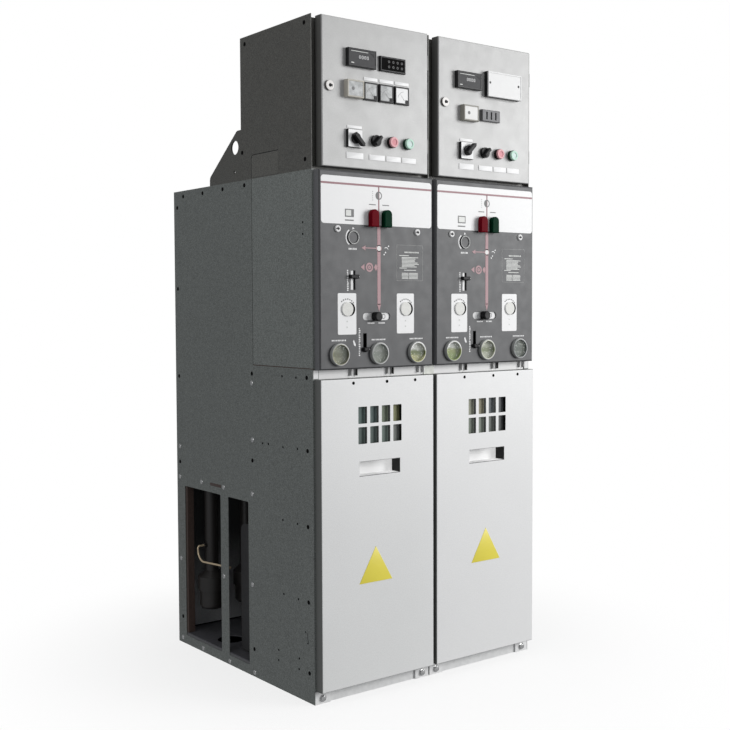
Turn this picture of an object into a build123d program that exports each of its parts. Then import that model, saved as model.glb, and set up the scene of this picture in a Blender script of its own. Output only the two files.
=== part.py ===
from build123d import *
import os

# Two ganged solid insulated switchgear cabinets, in millimetres.
# Origin on the floor at the middle of the base, +Z up, fronts facing -Y.

# Cabinet bodies
cabinet_width = 420.0
body_depth = 790.0
sheet = 2.0
front_flange = 20.0
mechanism_depth = 311.0
seam_gap = 2.5
tank_drop = 300.0
cut_overrun = 5.0
seat_gap = 0.3
round_clearance = 0.2

# Side windows of the cable compartment
window_sill = 29.0
window_height = 498.0
rear_window_width = 230.0
front_window_width = 119.0
window_post = 46.0
rear_window_margin = 51.0
window_corner = 4.0

# Base frame and floor plate
base_height = 36.0
base_wall = 3.0
base_recess = 5.0
foot_width = 52.0
foot_depth = 60.0
foot_plate = 4.0
anchor_radius = 7.0
anchor_inset = 34.0
floor_thickness = 3.0
cable_hole_radius = 42.0
cable_hole_inset = 209.0

# Insulated poles with a cable plug at the foot, and their earth leads
pole_margin = 75.0
pole_inset = 91.0
pole_stem_radius = 22.0
pole_collar_radius = 46.0
pole_collar = 14.0
pole_collar_taper = 20.0
plug_bottom = 119.0
plug_radius = 40.0
plug_length = 61.0
plug_round = 14.0
plug_shoulder_radius = 46.0
plug_shoulder = 46.0
plug_taper = 20.0
pole_stud_height = 330.0
pole_stud_radius = 9.0
pole_stud = 8.0
lead_radius = 3.0
lead_sag = 48.0
lead_rise = 15.0
lead_lean = 5.0
lead_bend = 8.0
lead_sag_bend = 34.0

# Lift-off cover of the cable compartment
cover_side_gap = 6.0
cover_height = 873.0
cover_proud = 29.0
cover_sheet = 2.0
cover_corner = 3.0
slot_width = 31.0
slot_height = 48.0
slot_columns = 4
slot_rows = 2
slot_bar_x = 11.0
slot_bar_z = 9.5
slot_drop = 81.0
slot_offset = 3.0
slot_corner = 2.0
pane_thickness = 3.0
pane_margin = 12.0
pane_recess = 10.0
handle_width = 148.0
handle_height = 41.0
handle_gap = 50.0
handle_offset = 2.0
cup_depth = 40.0
cup_wall = 2.0
cup_rim = 8.0

# Cross rail with its brackets, between cable cover and mimic panel
panel_gap = 26.0
rail_drop = 35.0
rail_thickness = 3.0
bracket_width = 21.0
bracket_wall = 2.0
bracket_proud = 8.0
bracket_clearance = 6.0
bracket_shares = (-0.173, 0.151, 0.436)

# Mimic panel on the mechanism
panel_side_gap = 6.0
panel_height = 549.0
panel_depth = 26.0
panel_sheet = 3.0
panel_chamfer = 4.0
panel_margin = 2.0
viewport_radius = 31.0
viewport_spacing_share = 0.3419
viewport_rise = 42.0
viewport_bezel = 4.5
viewport_proud = 10.0
viewport_sleeve = 2.0
viewport_recess = 3.0
viewport_glass = 3.0
panel_lock_radius = 9.5
panel_lock_proud = 5.0
panel_lock_spread_share = 0.3505
panel_lock_rise_share = 0.7086
shaft_cover_radius = 20.0
shaft_cover_proud = 4.0
shaft_cover_shares = (-0.272, 0.2427)
shaft_cover_rise_share = 0.3051
dial_radius = 19.0
dial_rim = 4.0
dial_proud = 4.0
dial_share = -0.2181
dial_rise_share = 0.6685

# Breaker push buttons, arched at the top
button_width = 28.0
button_height = 49.0
button_proud = 15.0
button_gap = 19.0
button_share = -0.0012
button_rise_share = 0.7249
button_fillet = 3.0
button_stem_radius = 7.0
button_travel = 4.0
button_fit = 0.05

# Interlock levers and sliding knob
lever_slot_width = 16.0
lever_slot_height = 54.0
lever_slot_share = -0.2194
lever_slot_rise_share = 0.4526
lever_rest_share = 0.176
low_slot_width = 13.0
low_slot_height = 53.0
low_slot_share = -0.1189
low_slot_rise_share = 0.133
low_lever_rest_share = -0.349
knob_slot_width = 98.0
knob_slot_height = 21.0
knob_slot_share = -0.0159
knob_slot_rise_share = 0.2668
knob_rest_share = -0.06
lever_fit = 0.5
lever_grip_width = 30.0
lever_grip_height = 11.0
lever_grip_proud = 11.0
lever_stem_height = 8.0
lever_keeper = 4.0
lever_keeper_margin = 5.0
low_grip_width = 20.0
slide_knob_radius = 13.0
slide_knob_proud = 20.0

# Instrument box on the deck
box_depth = 367.0
box_height = 412.0
box_side_rise = 6.0
box_gutter = 16.0
box_frame_margin = 44.0
box_frame_sill = 30.0

# Door of the instrument box
door_inset = 21.0
door_sill_gap = 8.0
door_head_rise = 3.0
door_proud = 21.0
door_depth = 30.0
door_sheet = 2.0
door_corner = 3.0
hinge_offset = 6.0
hinge_setback = 12.0
hinge_barrel_radius = 5.0
hinge_pin_radius = 3.0
hinge_running = 0.05
hinge_length = 40.0
hinge_end_play = 0.5
hinge_arm = 5.0
hinge_arm_width = 6.0
hinge_leaf = 2.0
hinge_end_distance = 63.0

# Lock and turning controls of the instrument door
door_lock_radius = 14.0
door_lock_proud = 6.0
door_lock_share = 0.063
door_lock_rise_share = 0.5356
door_lock_barrel = 9.0
door_lock_cam = 34.0
door_lock_cam_width = 14.0
control_radius = 16.0
control_collar = 9.0
control_stem_radius = 6.0
control_fit = 0.05
control_keeper_radius = 9.0
control_keeper = 4.0
control_shares = (0.4841, 0.6375, 0.791)
control_rise_share = 0.199
lamp_lens_radius = 14.5
lamp_lens_proud = 7.0
lamp_dish_radius = 9.0
lamp_dish = 1.5
grip_width = 9.0
grip_proud = 12.0
cam_plate = 50.0
cam_plate_proud = 10.0
cam_share = 0.2804
cam_boss_radius = 15.0
cam_boss = 6.0
cam_grip_length = 46.0
cam_grip_width = 12.0
cam_grip_proud = 12.0
cam_rest_angle = 45.0

# Instruments of the door
digital_meter_proud = 14.0
display_unit_proud = 8.0
relay_proud = 18.0
meter_proud = 8.0
slotted_block_proud = 10.0
instrument_fillet = 2.0
instrument_back_margin = 3.0
instrument_back_depth = 55.0
face_margin = 4.0
face_recess = 1.5
block_slot_width = 6.0
block_slot_depth = 6.0
block_slot_count = 3

# Left edge, lower edge, width and height of each instrument, as shares of the door
left_instrument_shares = {
    "digital_meter": (0.2130, 0.6810, 0.2593, 0.1229),
    "display_unit": (0.5212, 0.6820, 0.2434, 0.1032),
    "beige_relay": (0.1958, 0.4705, 0.1534, 0.1180),
    "first_meter": (0.3704, 0.4690, 0.1270, 0.1225),
    "second_meter": (0.5132, 0.4690, 0.1323, 0.1225),
    "third_meter": (0.6614, 0.4690, 0.1376, 0.1225),
}
right_instrument_shares = {
    "digital_meter": (0.1690, 0.6482, 0.2593, 0.1229),
    "relay_unit": (0.4894, 0.6143, 0.3730, 0.1867),
    "beige_relay": (0.2275, 0.4154, 0.1587, 0.1155),
    "slotted_block": (0.4444, 0.4314, 0.1958, 0.0860),
}
instrument_prouds = {
    "digital_meter": digital_meter_proud,
    "display_unit": display_unit_proud,
    "beige_relay": relay_proud,
    "relay_unit": relay_proud,
    "first_meter": meter_proud,
    "second_meter": meter_proud,
    "third_meter": meter_proud,
    "slotted_block": slotted_block_proud,
}

# Lifting lugs behind the instrument box
lug_thickness = 5.0
lug_length = 190.0
lug_height = 151.0
lug_heel = 25.0
lug_crest = 26.0
lug_round = 18.0
lug_eye_radius = 21.0
lug_eye_setback = 39.0
lug_eye_drop = 49.0
lug_hole_radius = 5.0
lug_hole_setback = 42.0
lug_hole_height = 29.0

# Heights that follow from the stack of cover, mimic panel and instrument box
floor_top = base_height + floor_thickness
cover_bottom = floor_top
cover_top = cover_bottom + cover_height
panel_bottom = cover_top + panel_gap
panel_top = panel_bottom + panel_height
body_height = panel_top + panel_margin
mechanism_sill = panel_bottom + sheet
module_bottom = mechanism_sill - tank_drop
deck_top = body_height
box_top = deck_top + box_height
box_side_top = box_top + box_side_rise
door_bottom = deck_top + door_sill_gap
door_top = box_top + door_head_rise
door_height = door_top - door_bottom

# Depths that follow from the body, front to back
body_front = -body_depth / 2
body_back = body_depth / 2
seam_y = body_front + mechanism_depth
cover_front = body_front - cover_proud
cup_back = cover_front + cup_depth
panel_front = body_front - panel_depth
panel_inside = panel_front + panel_sheet
door_front = body_front - door_proud
door_back = door_front + door_depth
gutter_floor = body_front + box_gutter
box_back = body_front + box_depth
pole_y = body_back - pole_inset
cable_hole_y = body_back - cable_hole_inset
rear_window_start = body_back - rear_window_margin - rear_window_width
front_window_start = rear_window_start - window_post - front_window_width

# Widths that follow from the cabinet
pole_spacing = cabinet_width / 2 - pole_margin
door_width = cabinet_width - 2 * door_inset
panel_width = cabinet_width - 2 * panel_side_gap
cabinet_lefts = {"left": -cabinet_width, "right": 0.0}
outward = {"left": -1, "right": 1}


def slab(x0, x1, y0, y1, z0, z1):
    """Box between two corners."""
    middle = Pos((x0 + x1) / 2, (y0 + y1) / 2, (z0 + z1) / 2)
    return middle * Box(abs(x1 - x0), abs(y1 - y0), abs(z1 - z0))


def rod_along_y(x, z, radius, y0, y1):
    """Cylinder along Y."""
    return Pos(x, (y0 + y1) / 2, z) * Rot(90, 0, 0) * Cylinder(radius, y1 - y0)


def rod_along_x(y, z, radius, x0, x1):
    """Cylinder along X."""
    return Pos((x0 + x1) / 2, y, z) * Rot(0, 90, 0) * Cylinder(radius, x1 - x0)


def rod_along_z(x, y, radius, z0, z1):
    """Cylinder along Z."""
    return Pos(x, y, (z0 + z1) / 2) * Cylinder(radius, z1 - z0)


def ring_along_y(x, z, outer, inner, y0, y1):
    """Tube along Y."""
    hole = rod_along_y(x, z, inner, y0 - cut_overrun, y1 + cut_overrun)
    return rod_along_y(x, z, outer, y0, y1) - hole


def front_edges(shape):
    """Edges of the face that looks towards -Y."""
    return shape.faces().sort_by(Axis.Y)[0].edges()


def facing_front(x, y, z):
    """Sketch plane that looks towards -Y, with its X to the right."""
    return Plane(origin=(x, y, z), x_dir=(1, 0, 0), z_dir=(0, -1, 0))


def turned_about_y(shape, x, z, angle):
    """Shape turned about a line along Y, counter-clockwise as seen from the front."""
    return Pos(x, 0, z) * Rot(0, -angle, 0) * Pos(-x, 0, -z) * shape


def pan(x0, x1, y0, y1, z0, z1, wall, corner):
    """Folded sheet tray, open towards +Y, with rounded front edges."""
    outer = fillet(front_edges(slab(x0, x1, y0, y1, z0, z1)), corner)
    hollow = slab(x0 + wall, x1 - wall, y0 + wall, y1 + cut_overrun, z0 + wall, z1 - wall)
    return outer - hollow


def write(name, shape):
    """Write one named piece."""
    export_step(shape, os.path.join("parts", name + ".step"))


def middle_of(left):
    """Middle of a cabinet across its width."""
    return left + cabinet_width / 2


def sheet_faces(left, at_right):
    """Outer and inner faces of a cabinet's right or left side sheet."""
    if at_right:
        return left + cabinet_width, left + cabinet_width - sheet
    return left, left + sheet


def open_side(side, left):
    """Faces of the side sheet that shows."""
    return sheet_faces(left, side == "right")


def ganged_side(side, left):
    """Faces of the side sheet that meets the other cabinet."""
    return sheet_faces(left, side == "left")


def flange(face, inner, bottom, top):
    """Front flange turned in from a side sheet."""
    reach = front_flange if inner > face else -front_flange
    return slab(face, face + reach, body_front, body_front + sheet, bottom, top)


def side_windows():
    """Depth ranges of the two side windows."""
    return (
        (rear_window_start, rear_window_start + rear_window_width),
        (front_window_start, front_window_start + front_window_width))


def side_plate(side, left):
    """L-shaped side sheet with its front flange and two windows."""
    face, inner = open_side(side, left)
    plate = slab(face, inner, body_front, body_back, 0, mechanism_sill)
    plate += slab(face, inner, seam_y, body_back, 0, body_height)
    plate += flange(face, inner, floor_top, mechanism_sill)
    low = min(face, inner) - cut_overrun
    high = max(face, inner) + cut_overrun
    for start, end in side_windows():
        hole = slab(low, high, start, end, window_sill, window_sill + window_height)
        plate -= fillet(hole.edges().filter_by(Axis.X), window_corner)
    return plate


def mechanism_cover(side, left):
    """Separate side sheet of the mechanism, with its front flange."""
    face, inner = open_side(side, left)
    bottom = mechanism_sill + seam_gap
    plate = slab(face, inner, body_front, seam_y - seam_gap, bottom, body_height)
    return plate + flange(face, inner, bottom, body_height)


def inner_side_plate(side, left):
    """Plain side sheet where the two cabinets meet."""
    face, inner = ganged_side(side, left)
    plate = slab(face, inner, body_front, body_back, 0, body_height)
    return plate + flange(face, inner, floor_top, body_height)


def inside_width(left):
    """Space between the side sheets."""
    return left + sheet, left + cabinet_width - sheet


def rear_cover(left):
    """Rear sheet with its top edge turned in."""
    x0, x1 = inside_width(left)
    top = body_height - sheet
    cover = slab(x0, x1, body_back - sheet, body_back, floor_top, top)
    return cover + slab(x0, x1, body_back - front_flange, body_back, top - sheet, top)


def deck(left):
    """Top sheet of the cabinet body."""
    x0, x1 = inside_width(left)
    return slab(x0, x1, body_front + sheet, body_back, body_height - sheet, body_height)


def switch_module(left):
    """Closed switch tank with the mechanism case in front of it."""
    x0, x1 = inside_width(left)
    top = body_height - sheet
    tank = slab(x0, x1, seam_y, body_back - front_flange, module_bottom, top)
    return tank + slab(x0, x1, body_front + sheet, seam_y, mechanism_sill, top)


def base_frame(left):
    """Welded base ring with a foot and an anchor plate at each corner."""
    x0, x1 = inside_width(left)
    y0 = body_front + base_recess
    y1 = body_back - base_recess
    inside = slab(x0 + base_wall, x1 - base_wall, y0 + base_wall, y1 - base_wall,
                  -cut_overrun, base_height + cut_overrun)
    ring = slab(x0, x1, y0, y1, 0, base_height) - inside
    for foot_x, inward in ((x0, 1), (x1, -1)):
        for foot_y, backward in ((body_front, 1), (body_back, -1)):
            foot_end = foot_x + inward * foot_width
            face_back = foot_y + backward * (base_recess + base_wall)
            ring += slab(foot_x, foot_end, foot_y, face_back, 0, base_height)
            ring += slab(foot_x, foot_end, foot_y, foot_y + backward * foot_depth, 0, foot_plate)
    for hole_x, hole_y in anchor_places(left):
        ring -= rod_along_z(hole_x, hole_y, anchor_radius, -cut_overrun, foot_plate + cut_overrun)
    return ring


def anchor_places(left):
    """Centres of the four floor anchor holes."""
    for x in (left + anchor_inset, left + cabinet_width - anchor_inset):
        for y in (body_front + anchor_inset, body_back - anchor_inset):
            yield x, y


def pole_places(left):
    """Middle lines of the three phases across a cabinet."""
    middle = middle_of(left)
    return [middle - pole_spacing, middle, middle + pole_spacing]


def floor_plate(left):
    """Cable compartment floor with a cable hole for each phase."""
    x0, x1 = inside_width(left)
    plate = slab(x0, x1, body_front + base_recess, body_back - base_recess, base_height, floor_top)
    for x in pole_places(left):
        plate -= rod_along_z(x, cable_hole_y, cable_hole_radius, 0, floor_top + cut_overrun)
    return plate


def insulated_pole(x, stud_side):
    """Moulded pole under the switch tank: collar, stem, and a shouldered cable plug with a round foot."""
    shoulder_low = plug_bottom + plug_length
    shoulder_high = shoulder_low + plug_shoulder
    collar_low = module_bottom - pole_collar
    outline = Polyline(
        (0, plug_bottom), (plug_radius, plug_bottom), (plug_radius, shoulder_low),
        (plug_shoulder_radius, shoulder_low), (plug_shoulder_radius, shoulder_high),
        (pole_stem_radius, shoulder_high + plug_taper), (pole_stem_radius, collar_low - pole_collar_taper),
        (pole_collar_radius, collar_low), (pole_collar_radius, module_bottom), (0, module_bottom), close=True)
    pole = revolve(Plane.XZ * make_face(outline), Axis.Z)
    pole = fillet(pole.edges().group_by(Axis.Z)[0], plug_round)
    pole = Pos(x, pole_y, 0) * pole
    if stud_side:
        ends = sorted((x, x + stud_side * (pole_stem_radius + pole_stud)))
        pole += rod_along_x(pole_y, pole_stud_height, pole_stud_radius, *ends)
    return pole


def earth_lead(side, left):
    """Bare earth lead that hangs from the outer pole's stud to the window post of the side sheet."""
    pole_x = pole_places(left)[0 if side == "left" else -1]
    stud_x = pole_x + outward[side] * (pole_stem_radius + pole_stud)
    wall_x = open_side(side, left)[1]
    run_x = (stud_x + wall_x) / 2
    end_y = rear_window_start - window_post / 2
    low_z = pole_stud_height - lead_sag
    end_z = low_z + lead_rise
    low_y = pole_y - lead_lean
    path = FilletPolyline(
        (stud_x, pole_y, pole_stud_height), (run_x, pole_y, pole_stud_height), (run_x, low_y, low_z),
        (run_x, end_y, end_z), (wall_x, end_y, end_z), radius=[lead_bend, lead_sag_bend, lead_bend])
    start = Plane(origin=path @ 0, z_dir=path % 0)
    return sweep(start * Circle(lead_radius), path=path)


def cable_cover(left):
    """Folded cover with its window slots and handle cut-out."""
    x0 = left + cover_side_gap
    x1 = left + cabinet_width - cover_side_gap
    cover = pan(x0, x1, cover_front, body_front - seat_gap, cover_bottom, cover_top,
                cover_sheet, cover_corner)
    low = cover_front - cut_overrun
    high = cover_front + cover_sheet + cut_overrun
    for x, z in slot_places(left):
        hole = slab(x - slot_width / 2, x + slot_width / 2, low, high,
                    z - slot_height / 2, z + slot_height / 2)
        cover -= fillet(hole.edges().filter_by(Axis.Y), slot_corner)
    cup_x0, cup_x1, cup_z0, cup_z1 = handle_mouth(left)
    return cover - slab(cup_x0, cup_x1, low, high, cup_z0, cup_z1)


def slot_places(left):
    """Centres of the window slots."""
    middle = middle_of(left) + slot_offset
    for column in range(slot_columns):
        for row in range(slot_rows):
            x = middle + (column - (slot_columns - 1) / 2) * (slot_width + slot_bar_x)
            z = cover_top - slot_drop - slot_height / 2 - row * (slot_height + slot_bar_z)
            yield x, z


def slot_field(left, margin):
    """Rectangle around all window slots, with a margin."""
    xs = [x for x, z in slot_places(left)]
    zs = [z for x, z in slot_places(left)]
    reach_x = slot_width / 2 + margin
    reach_z = slot_height / 2 + margin
    return min(xs) - reach_x, max(xs) + reach_x, min(zs) - reach_z, max(zs) + reach_z


def handle_mouth(left):
    """Rectangle of the handle cut-out, under the window slots."""
    x = middle_of(left) + handle_offset
    top = slot_field(left, 0)[2] - handle_gap
    return x - handle_width / 2, x + handle_width / 2, top - handle_height, top


def cover_pane(left):
    """Clear moulded tray behind the window slots, its floor set back from the sheet."""
    x0, x1, z0, z1 = slot_field(left, pane_margin)
    y0 = cover_front + cover_sheet
    y1 = y0 + pane_recess + pane_thickness
    wall = pane_thickness
    hollow = slab(x0 + wall, x1 - wall, y0 - cut_overrun, y0 + pane_recess, z0 + wall, z1 - wall)
    return slab(x0, x1, y0, y1, z0, z1) - hollow


def cover_handle(left):
    """Pocket handle moulded as a cup, held by its rim behind the cut-out of the cover."""
    x0, x1, z0, z1 = handle_mouth(left)
    y0 = cover_front + cover_sheet
    cup = slab(x0 - cup_wall, x1 + cup_wall, y0, cup_back, z0 - cup_wall, z1 + cup_wall)
    cup += slab(x0 - cup_rim, x1 + cup_rim, y0, y0 + cup_wall, z0 - cup_rim, z1 + cup_rim)
    return cup - slab(x0, x1, y0 - cut_overrun, cup_back - cup_wall, z0, z1)


def trim_rails(left):
    """Cross rail under the mimic panel, with upright channel brackets on its front."""
    x0, x1 = inside_width(left)
    y0 = body_front + sheet
    rail = slab(x0, x1, y0, y0 + rail_thickness, panel_bottom - rail_drop, mechanism_sill)
    low = cover_top + bracket_clearance
    high = panel_bottom - seat_gap
    for share in bracket_shares:
        start = middle_of(left) + share * panel_width - bracket_width / 2
        for wall_x in (start, start + bracket_width - bracket_wall):
            rail += slab(wall_x, wall_x + bracket_wall, y0 - bracket_proud, y0, low, high)
    return [rail]


def on_panel(left, share, rise_share):
    """Place on the mimic panel: share of its width from the middle, share of its height from below."""
    return middle_of(left) + share * panel_width, panel_bottom + rise_share * panel_height


def viewport_places(left):
    """Middles of the three round viewports."""
    step = viewport_spacing_share * panel_width
    middle = middle_of(left)
    height = panel_bottom + viewport_rise
    return [(middle - step, height), (middle, height), (middle + step, height)]


def button_places(left):
    """Lower middles of the open and close buttons."""
    middle, bottom = on_panel(left, button_share, button_rise_share)
    step = (button_width + button_gap) / 2
    return {"open": (middle - step, bottom), "close": (middle + step, bottom)}


def lever_slots(left):
    """Middle, width and height of the two lever slots."""
    upper = on_panel(left, lever_slot_share, lever_slot_rise_share)
    lower = on_panel(left, low_slot_share, low_slot_rise_share)
    return {
        "interlock": (upper, lever_slot_width, lever_slot_height),
        "low": (lower, low_slot_width, low_slot_height)}


def knob_slot(left):
    """Middle of the sliding knob's slot."""
    return on_panel(left, knob_slot_share, knob_slot_rise_share)


def mimic_panel(left):
    """Chamfered front panel with its viewports, slots and stem holes."""
    x0 = left + panel_side_gap
    x1 = x0 + panel_width
    block = slab(x0, x1, panel_front, body_front, panel_bottom, panel_top)
    block = chamfer(front_edges(block), panel_chamfer)
    wall = panel_sheet + panel_chamfer
    panel = block - slab(x0 + wall, x1 - wall, panel_inside, body_front + cut_overrun,
                         panel_bottom + wall, panel_top - wall)
    low = panel_front - cut_overrun
    high = panel_inside + cut_overrun
    for x, z in viewport_places(left):
        panel -= rod_along_y(x, z, viewport_radius - viewport_bezel + viewport_sleeve, low, high)
    for x, z in button_places(left).values():
        panel -= rod_along_y(x, z + button_height / 2, button_stem_radius + button_fit, low, high)
    for (x, z), width, height in lever_slots(left).values():
        panel -= slab(x - width / 2, x + width / 2, low, high, z - height / 2, z + height / 2)
    x, z = knob_slot(left)
    slot = facing_front(x, high, z) * SlotOverall(knob_slot_width, knob_slot_height)
    return panel - extrude(slot, high - low)


def viewport_bezels(left):
    """Bright rings around the viewports, with a sleeve through the panel."""
    inner = viewport_radius - viewport_bezel
    sleeve = inner + viewport_sleeve - round_clearance
    rings = []
    for x, z in viewport_places(left):
        ring = ring_along_y(x, z, viewport_radius, inner, panel_front - viewport_proud, panel_front)
        ring = fillet(ring.faces().sort_by(Axis.Y)[0].outer_wire().edges(), viewport_bezel / 2)
        rings.append(ring + ring_along_y(x, z, sleeve, inner, panel_front, panel_inside))
    return rings


def viewport_glasses(left):
    """Glass discs inside the bezels, near their fronts."""
    radius = viewport_radius - viewport_bezel - round_clearance
    front = panel_front - viewport_proud + viewport_recess
    return [rod_along_y(x, z, radius, front, front + viewport_glass)
            for x, z in viewport_places(left)]


def panel_locks(left):
    """Two quarter-turn locks that hold the mimic panel."""
    locks = []
    front = panel_front - panel_lock_proud
    key = panel_lock_radius / 2
    for share in (-panel_lock_spread_share, panel_lock_spread_share):
        x, z = on_panel(left, share, panel_lock_rise_share)
        lock = rod_along_y(x, z, panel_lock_radius, front, panel_front)
        lock = fillet(front_edges(lock), panel_lock_proud / 2)
        locks.append(lock - slab(x - key, x + key, front - cut_overrun, front + panel_lock_proud / 2,
                                 z - key / 2, z + key / 2))
    return locks


def shaft_covers(left):
    """Round covers over the two operating shafts."""
    covers = []
    for share in shaft_cover_shares:
        x, z = on_panel(left, share, shaft_cover_rise_share)
        disc = rod_along_y(x, z, shaft_cover_radius, panel_front - shaft_cover_proud, panel_front)
        covers.append(fillet(front_edges(disc), shaft_cover_proud / 2))
    return covers


def charge_dials(left):
    """Rimmed dial of the spring charge indicator."""
    x, z = on_panel(left, dial_share, dial_rise_share)
    front = panel_front - dial_proud
    disc = rod_along_y(x, z, dial_radius, front, panel_front)
    return [disc - rod_along_y(x, z, dial_radius - dial_rim, front - cut_overrun, front + dial_proud / 2)]


def arched_face(width, height):
    """Outline with a flat foot and a round top, standing on the origin."""
    radius = width / 2
    return make_face([
        Line((-radius, 0), (radius, 0)), Line((radius, 0), (radius, height - radius)),
        RadiusArc((radius, height - radius), (-radius, height - radius), -radius),
        Line((-radius, height - radius), (-radius, 0))])


def breaker_button(x, z):
    """Arched push button with a stem through the panel."""
    back = panel_front - seat_gap - button_travel
    head = extrude(facing_front(x, back, z) * arched_face(button_width, button_height), button_proud)
    head = fillet(front_edges(head), button_fillet)
    stem_end = panel_inside + button_travel
    return head + rod_along_y(x, z + button_height / 2, button_stem_radius, back, stem_end)


def lever(x, z, slot_width, grip_width):
    """Lever with a stem through its slot and a keeper behind the panel."""
    half = lever_stem_height / 2
    stem_x = slot_width / 2 - lever_fit
    front = panel_front - seat_gap
    back = panel_inside + seat_gap
    grip = slab(x - grip_width / 2, x + grip_width / 2, front - lever_grip_proud, front,
                z - lever_grip_height / 2, z + lever_grip_height / 2)
    grip = fillet(front_edges(grip), lever_grip_height / 4)
    stem = slab(x - stem_x, x + stem_x, front, back, z - half, z + half)
    keep_x = slot_width / 2 + lever_keeper_margin
    return grip + stem + slab(x - keep_x, x + keep_x, back, back + lever_keeper, z - half, z + half)


def interlock_lever(left):
    """Upper lever, a little above the middle of its slot."""
    (x, z), width, height = lever_slots(left)["interlock"]
    return lever(x, z + lever_rest_share * height, width, lever_grip_width)


def low_lever(left):
    """Lower lever, at the foot of its slot."""
    (x, z), width, height = lever_slots(left)["low"]
    return lever(x, z + low_lever_rest_share * height, width, low_grip_width)


def slide_knob(left):
    """Round knob that slides along the horizontal slot."""
    x, z = knob_slot(left)
    x += knob_rest_share * knob_slot_width
    front = panel_front - seat_gap
    back = panel_inside + seat_gap
    knob = rod_along_y(x, z, slide_knob_radius, front - slide_knob_proud, front)
    knob = fillet(front_edges(knob), slide_knob_radius / 4)
    stem_radius = knob_slot_height / 2 - lever_fit
    keep_radius = knob_slot_height / 2 + lever_keeper_margin
    knob += rod_along_y(x, z, stem_radius, front, back)
    return knob + rod_along_y(x, z, keep_radius, back, back + lever_keeper)


def instrument_box(left):
    """Sheet box with a gutter around its door and sides that stand proud."""
    right = left + cabinet_width
    x0, x1 = inside_width(left)
    shell = slab(left, right, gutter_floor, box_back, deck_top, box_top)
    shell -= slab(x0, x1, gutter_floor + sheet, box_back - sheet, deck_top + sheet, box_top - sheet)
    shell -= slab(left + box_frame_margin, right - box_frame_margin, gutter_floor - cut_overrun,
                  gutter_floor + sheet + cut_overrun, deck_top + box_frame_sill, box_top - box_frame_sill)
    for outer, inner in ((left, x0), (right, x1)):
        shell += slab(outer, inner, body_front, box_back, deck_top, box_side_top)
    return shell


def hinge_axis(left):
    """Upright hinge line beside the right edge of the door."""
    return left + cabinet_width - door_inset + hinge_offset, door_front + hinge_setback


def hinge_places():
    """Lower ends of the two hinge barrels."""
    return door_bottom + hinge_end_distance, door_top - hinge_end_distance - hinge_length


def hinge_brackets(left):
    """Fixed hinge halves: a pin held by two arms on the gutter floor."""
    x, y = hinge_axis(left)
    reach = hinge_end_play + hinge_arm
    arm_x = hinge_arm_width / 2
    brackets = []
    for low in hinge_places():
        high = low + hinge_length
        half = rod_along_z(x, y, hinge_pin_radius, low - reach, high + reach)
        for arm_low in (low - reach, high + hinge_end_play):
            half += slab(x - arm_x, x + arm_x, y, gutter_floor, arm_low, arm_low + hinge_arm)
            half += rod_along_z(x, y, arm_x, arm_low, arm_low + hinge_arm)
        brackets.append(half)
    return brackets


def on_door(left, share, rise_share):
    """Place on the instrument door, as shares of its width and height."""
    return left + door_inset + share * door_width, door_bottom + rise_share * door_height


def instruments(side, left):
    """Left, lower, right and upper edges of each instrument, and how far it stands proud."""
    shares = left_instrument_shares if side == "left" else right_instrument_shares
    places = {}
    for name, (share, rise_share, width_share, height_share) in shares.items():
        x0, z0 = on_door(left, share, rise_share)
        x1, z1 = on_door(left, share + width_share, rise_share + height_share)
        places[name] = (x0, z0, x1, z1, instrument_prouds[name])
    return places


def instrument_front(name, x0, z0, x1, z1, proud):
    """Part of an instrument in front of the door: a rimmed face, or a block with slots."""
    front_y = door_front - proud
    front = fillet(front_edges(slab(x0, x1, front_y, door_front, z0, z1)), instrument_fillet)
    low = front_y - cut_overrun
    if name != "slotted_block":
        return front - slab(x0 + face_margin, x1 - face_margin, low, front_y + face_recess,
                            z0 + face_margin, z1 - face_margin)
    pitch = (x1 - x0) / (block_slot_count + 1)
    half = block_slot_width / 2
    slot_back = front_y + block_slot_depth
    for index in range(block_slot_count):
        x = x0 + (index + 1) * pitch
        front -= slab(x - half, x + half, low, slot_back, z0 + block_slot_width, z1 - block_slot_width)
    return front


def instrument_bodies(side, left):
    """Instruments with their bodies through the door."""
    bodies = []
    inset = instrument_back_margin + round_clearance
    back = door_front + instrument_back_depth
    for name, (x0, z0, x1, z1, proud) in instruments(side, left).items():
        body = slab(x0 + inset, x1 - inset, door_front, back, z0 + inset, z1 - inset)
        bodies.append(body + instrument_front(name, x0, z0, x1, z1, proud))
    return bodies


def cam_plate_body(left):
    """Square plate under the cam switch handle, with a hole for its spindle."""
    x, z = on_door(left, cam_share, control_rise_share)
    half = cam_plate / 2
    front = door_front - cam_plate_proud
    bore = control_stem_radius + control_fit
    plate = slab(x - half, x + half, front, door_front, z - half, z + half)
    plate = fillet(front_edges(plate), instrument_fillet)
    return plate - rod_along_y(x, z, bore, front - cut_overrun, door_front + cut_overrun)


def control_places(left):
    """Middles of the selector and the two lamps, from left to right."""
    return [on_door(left, share, control_rise_share) for share in control_shares]


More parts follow.
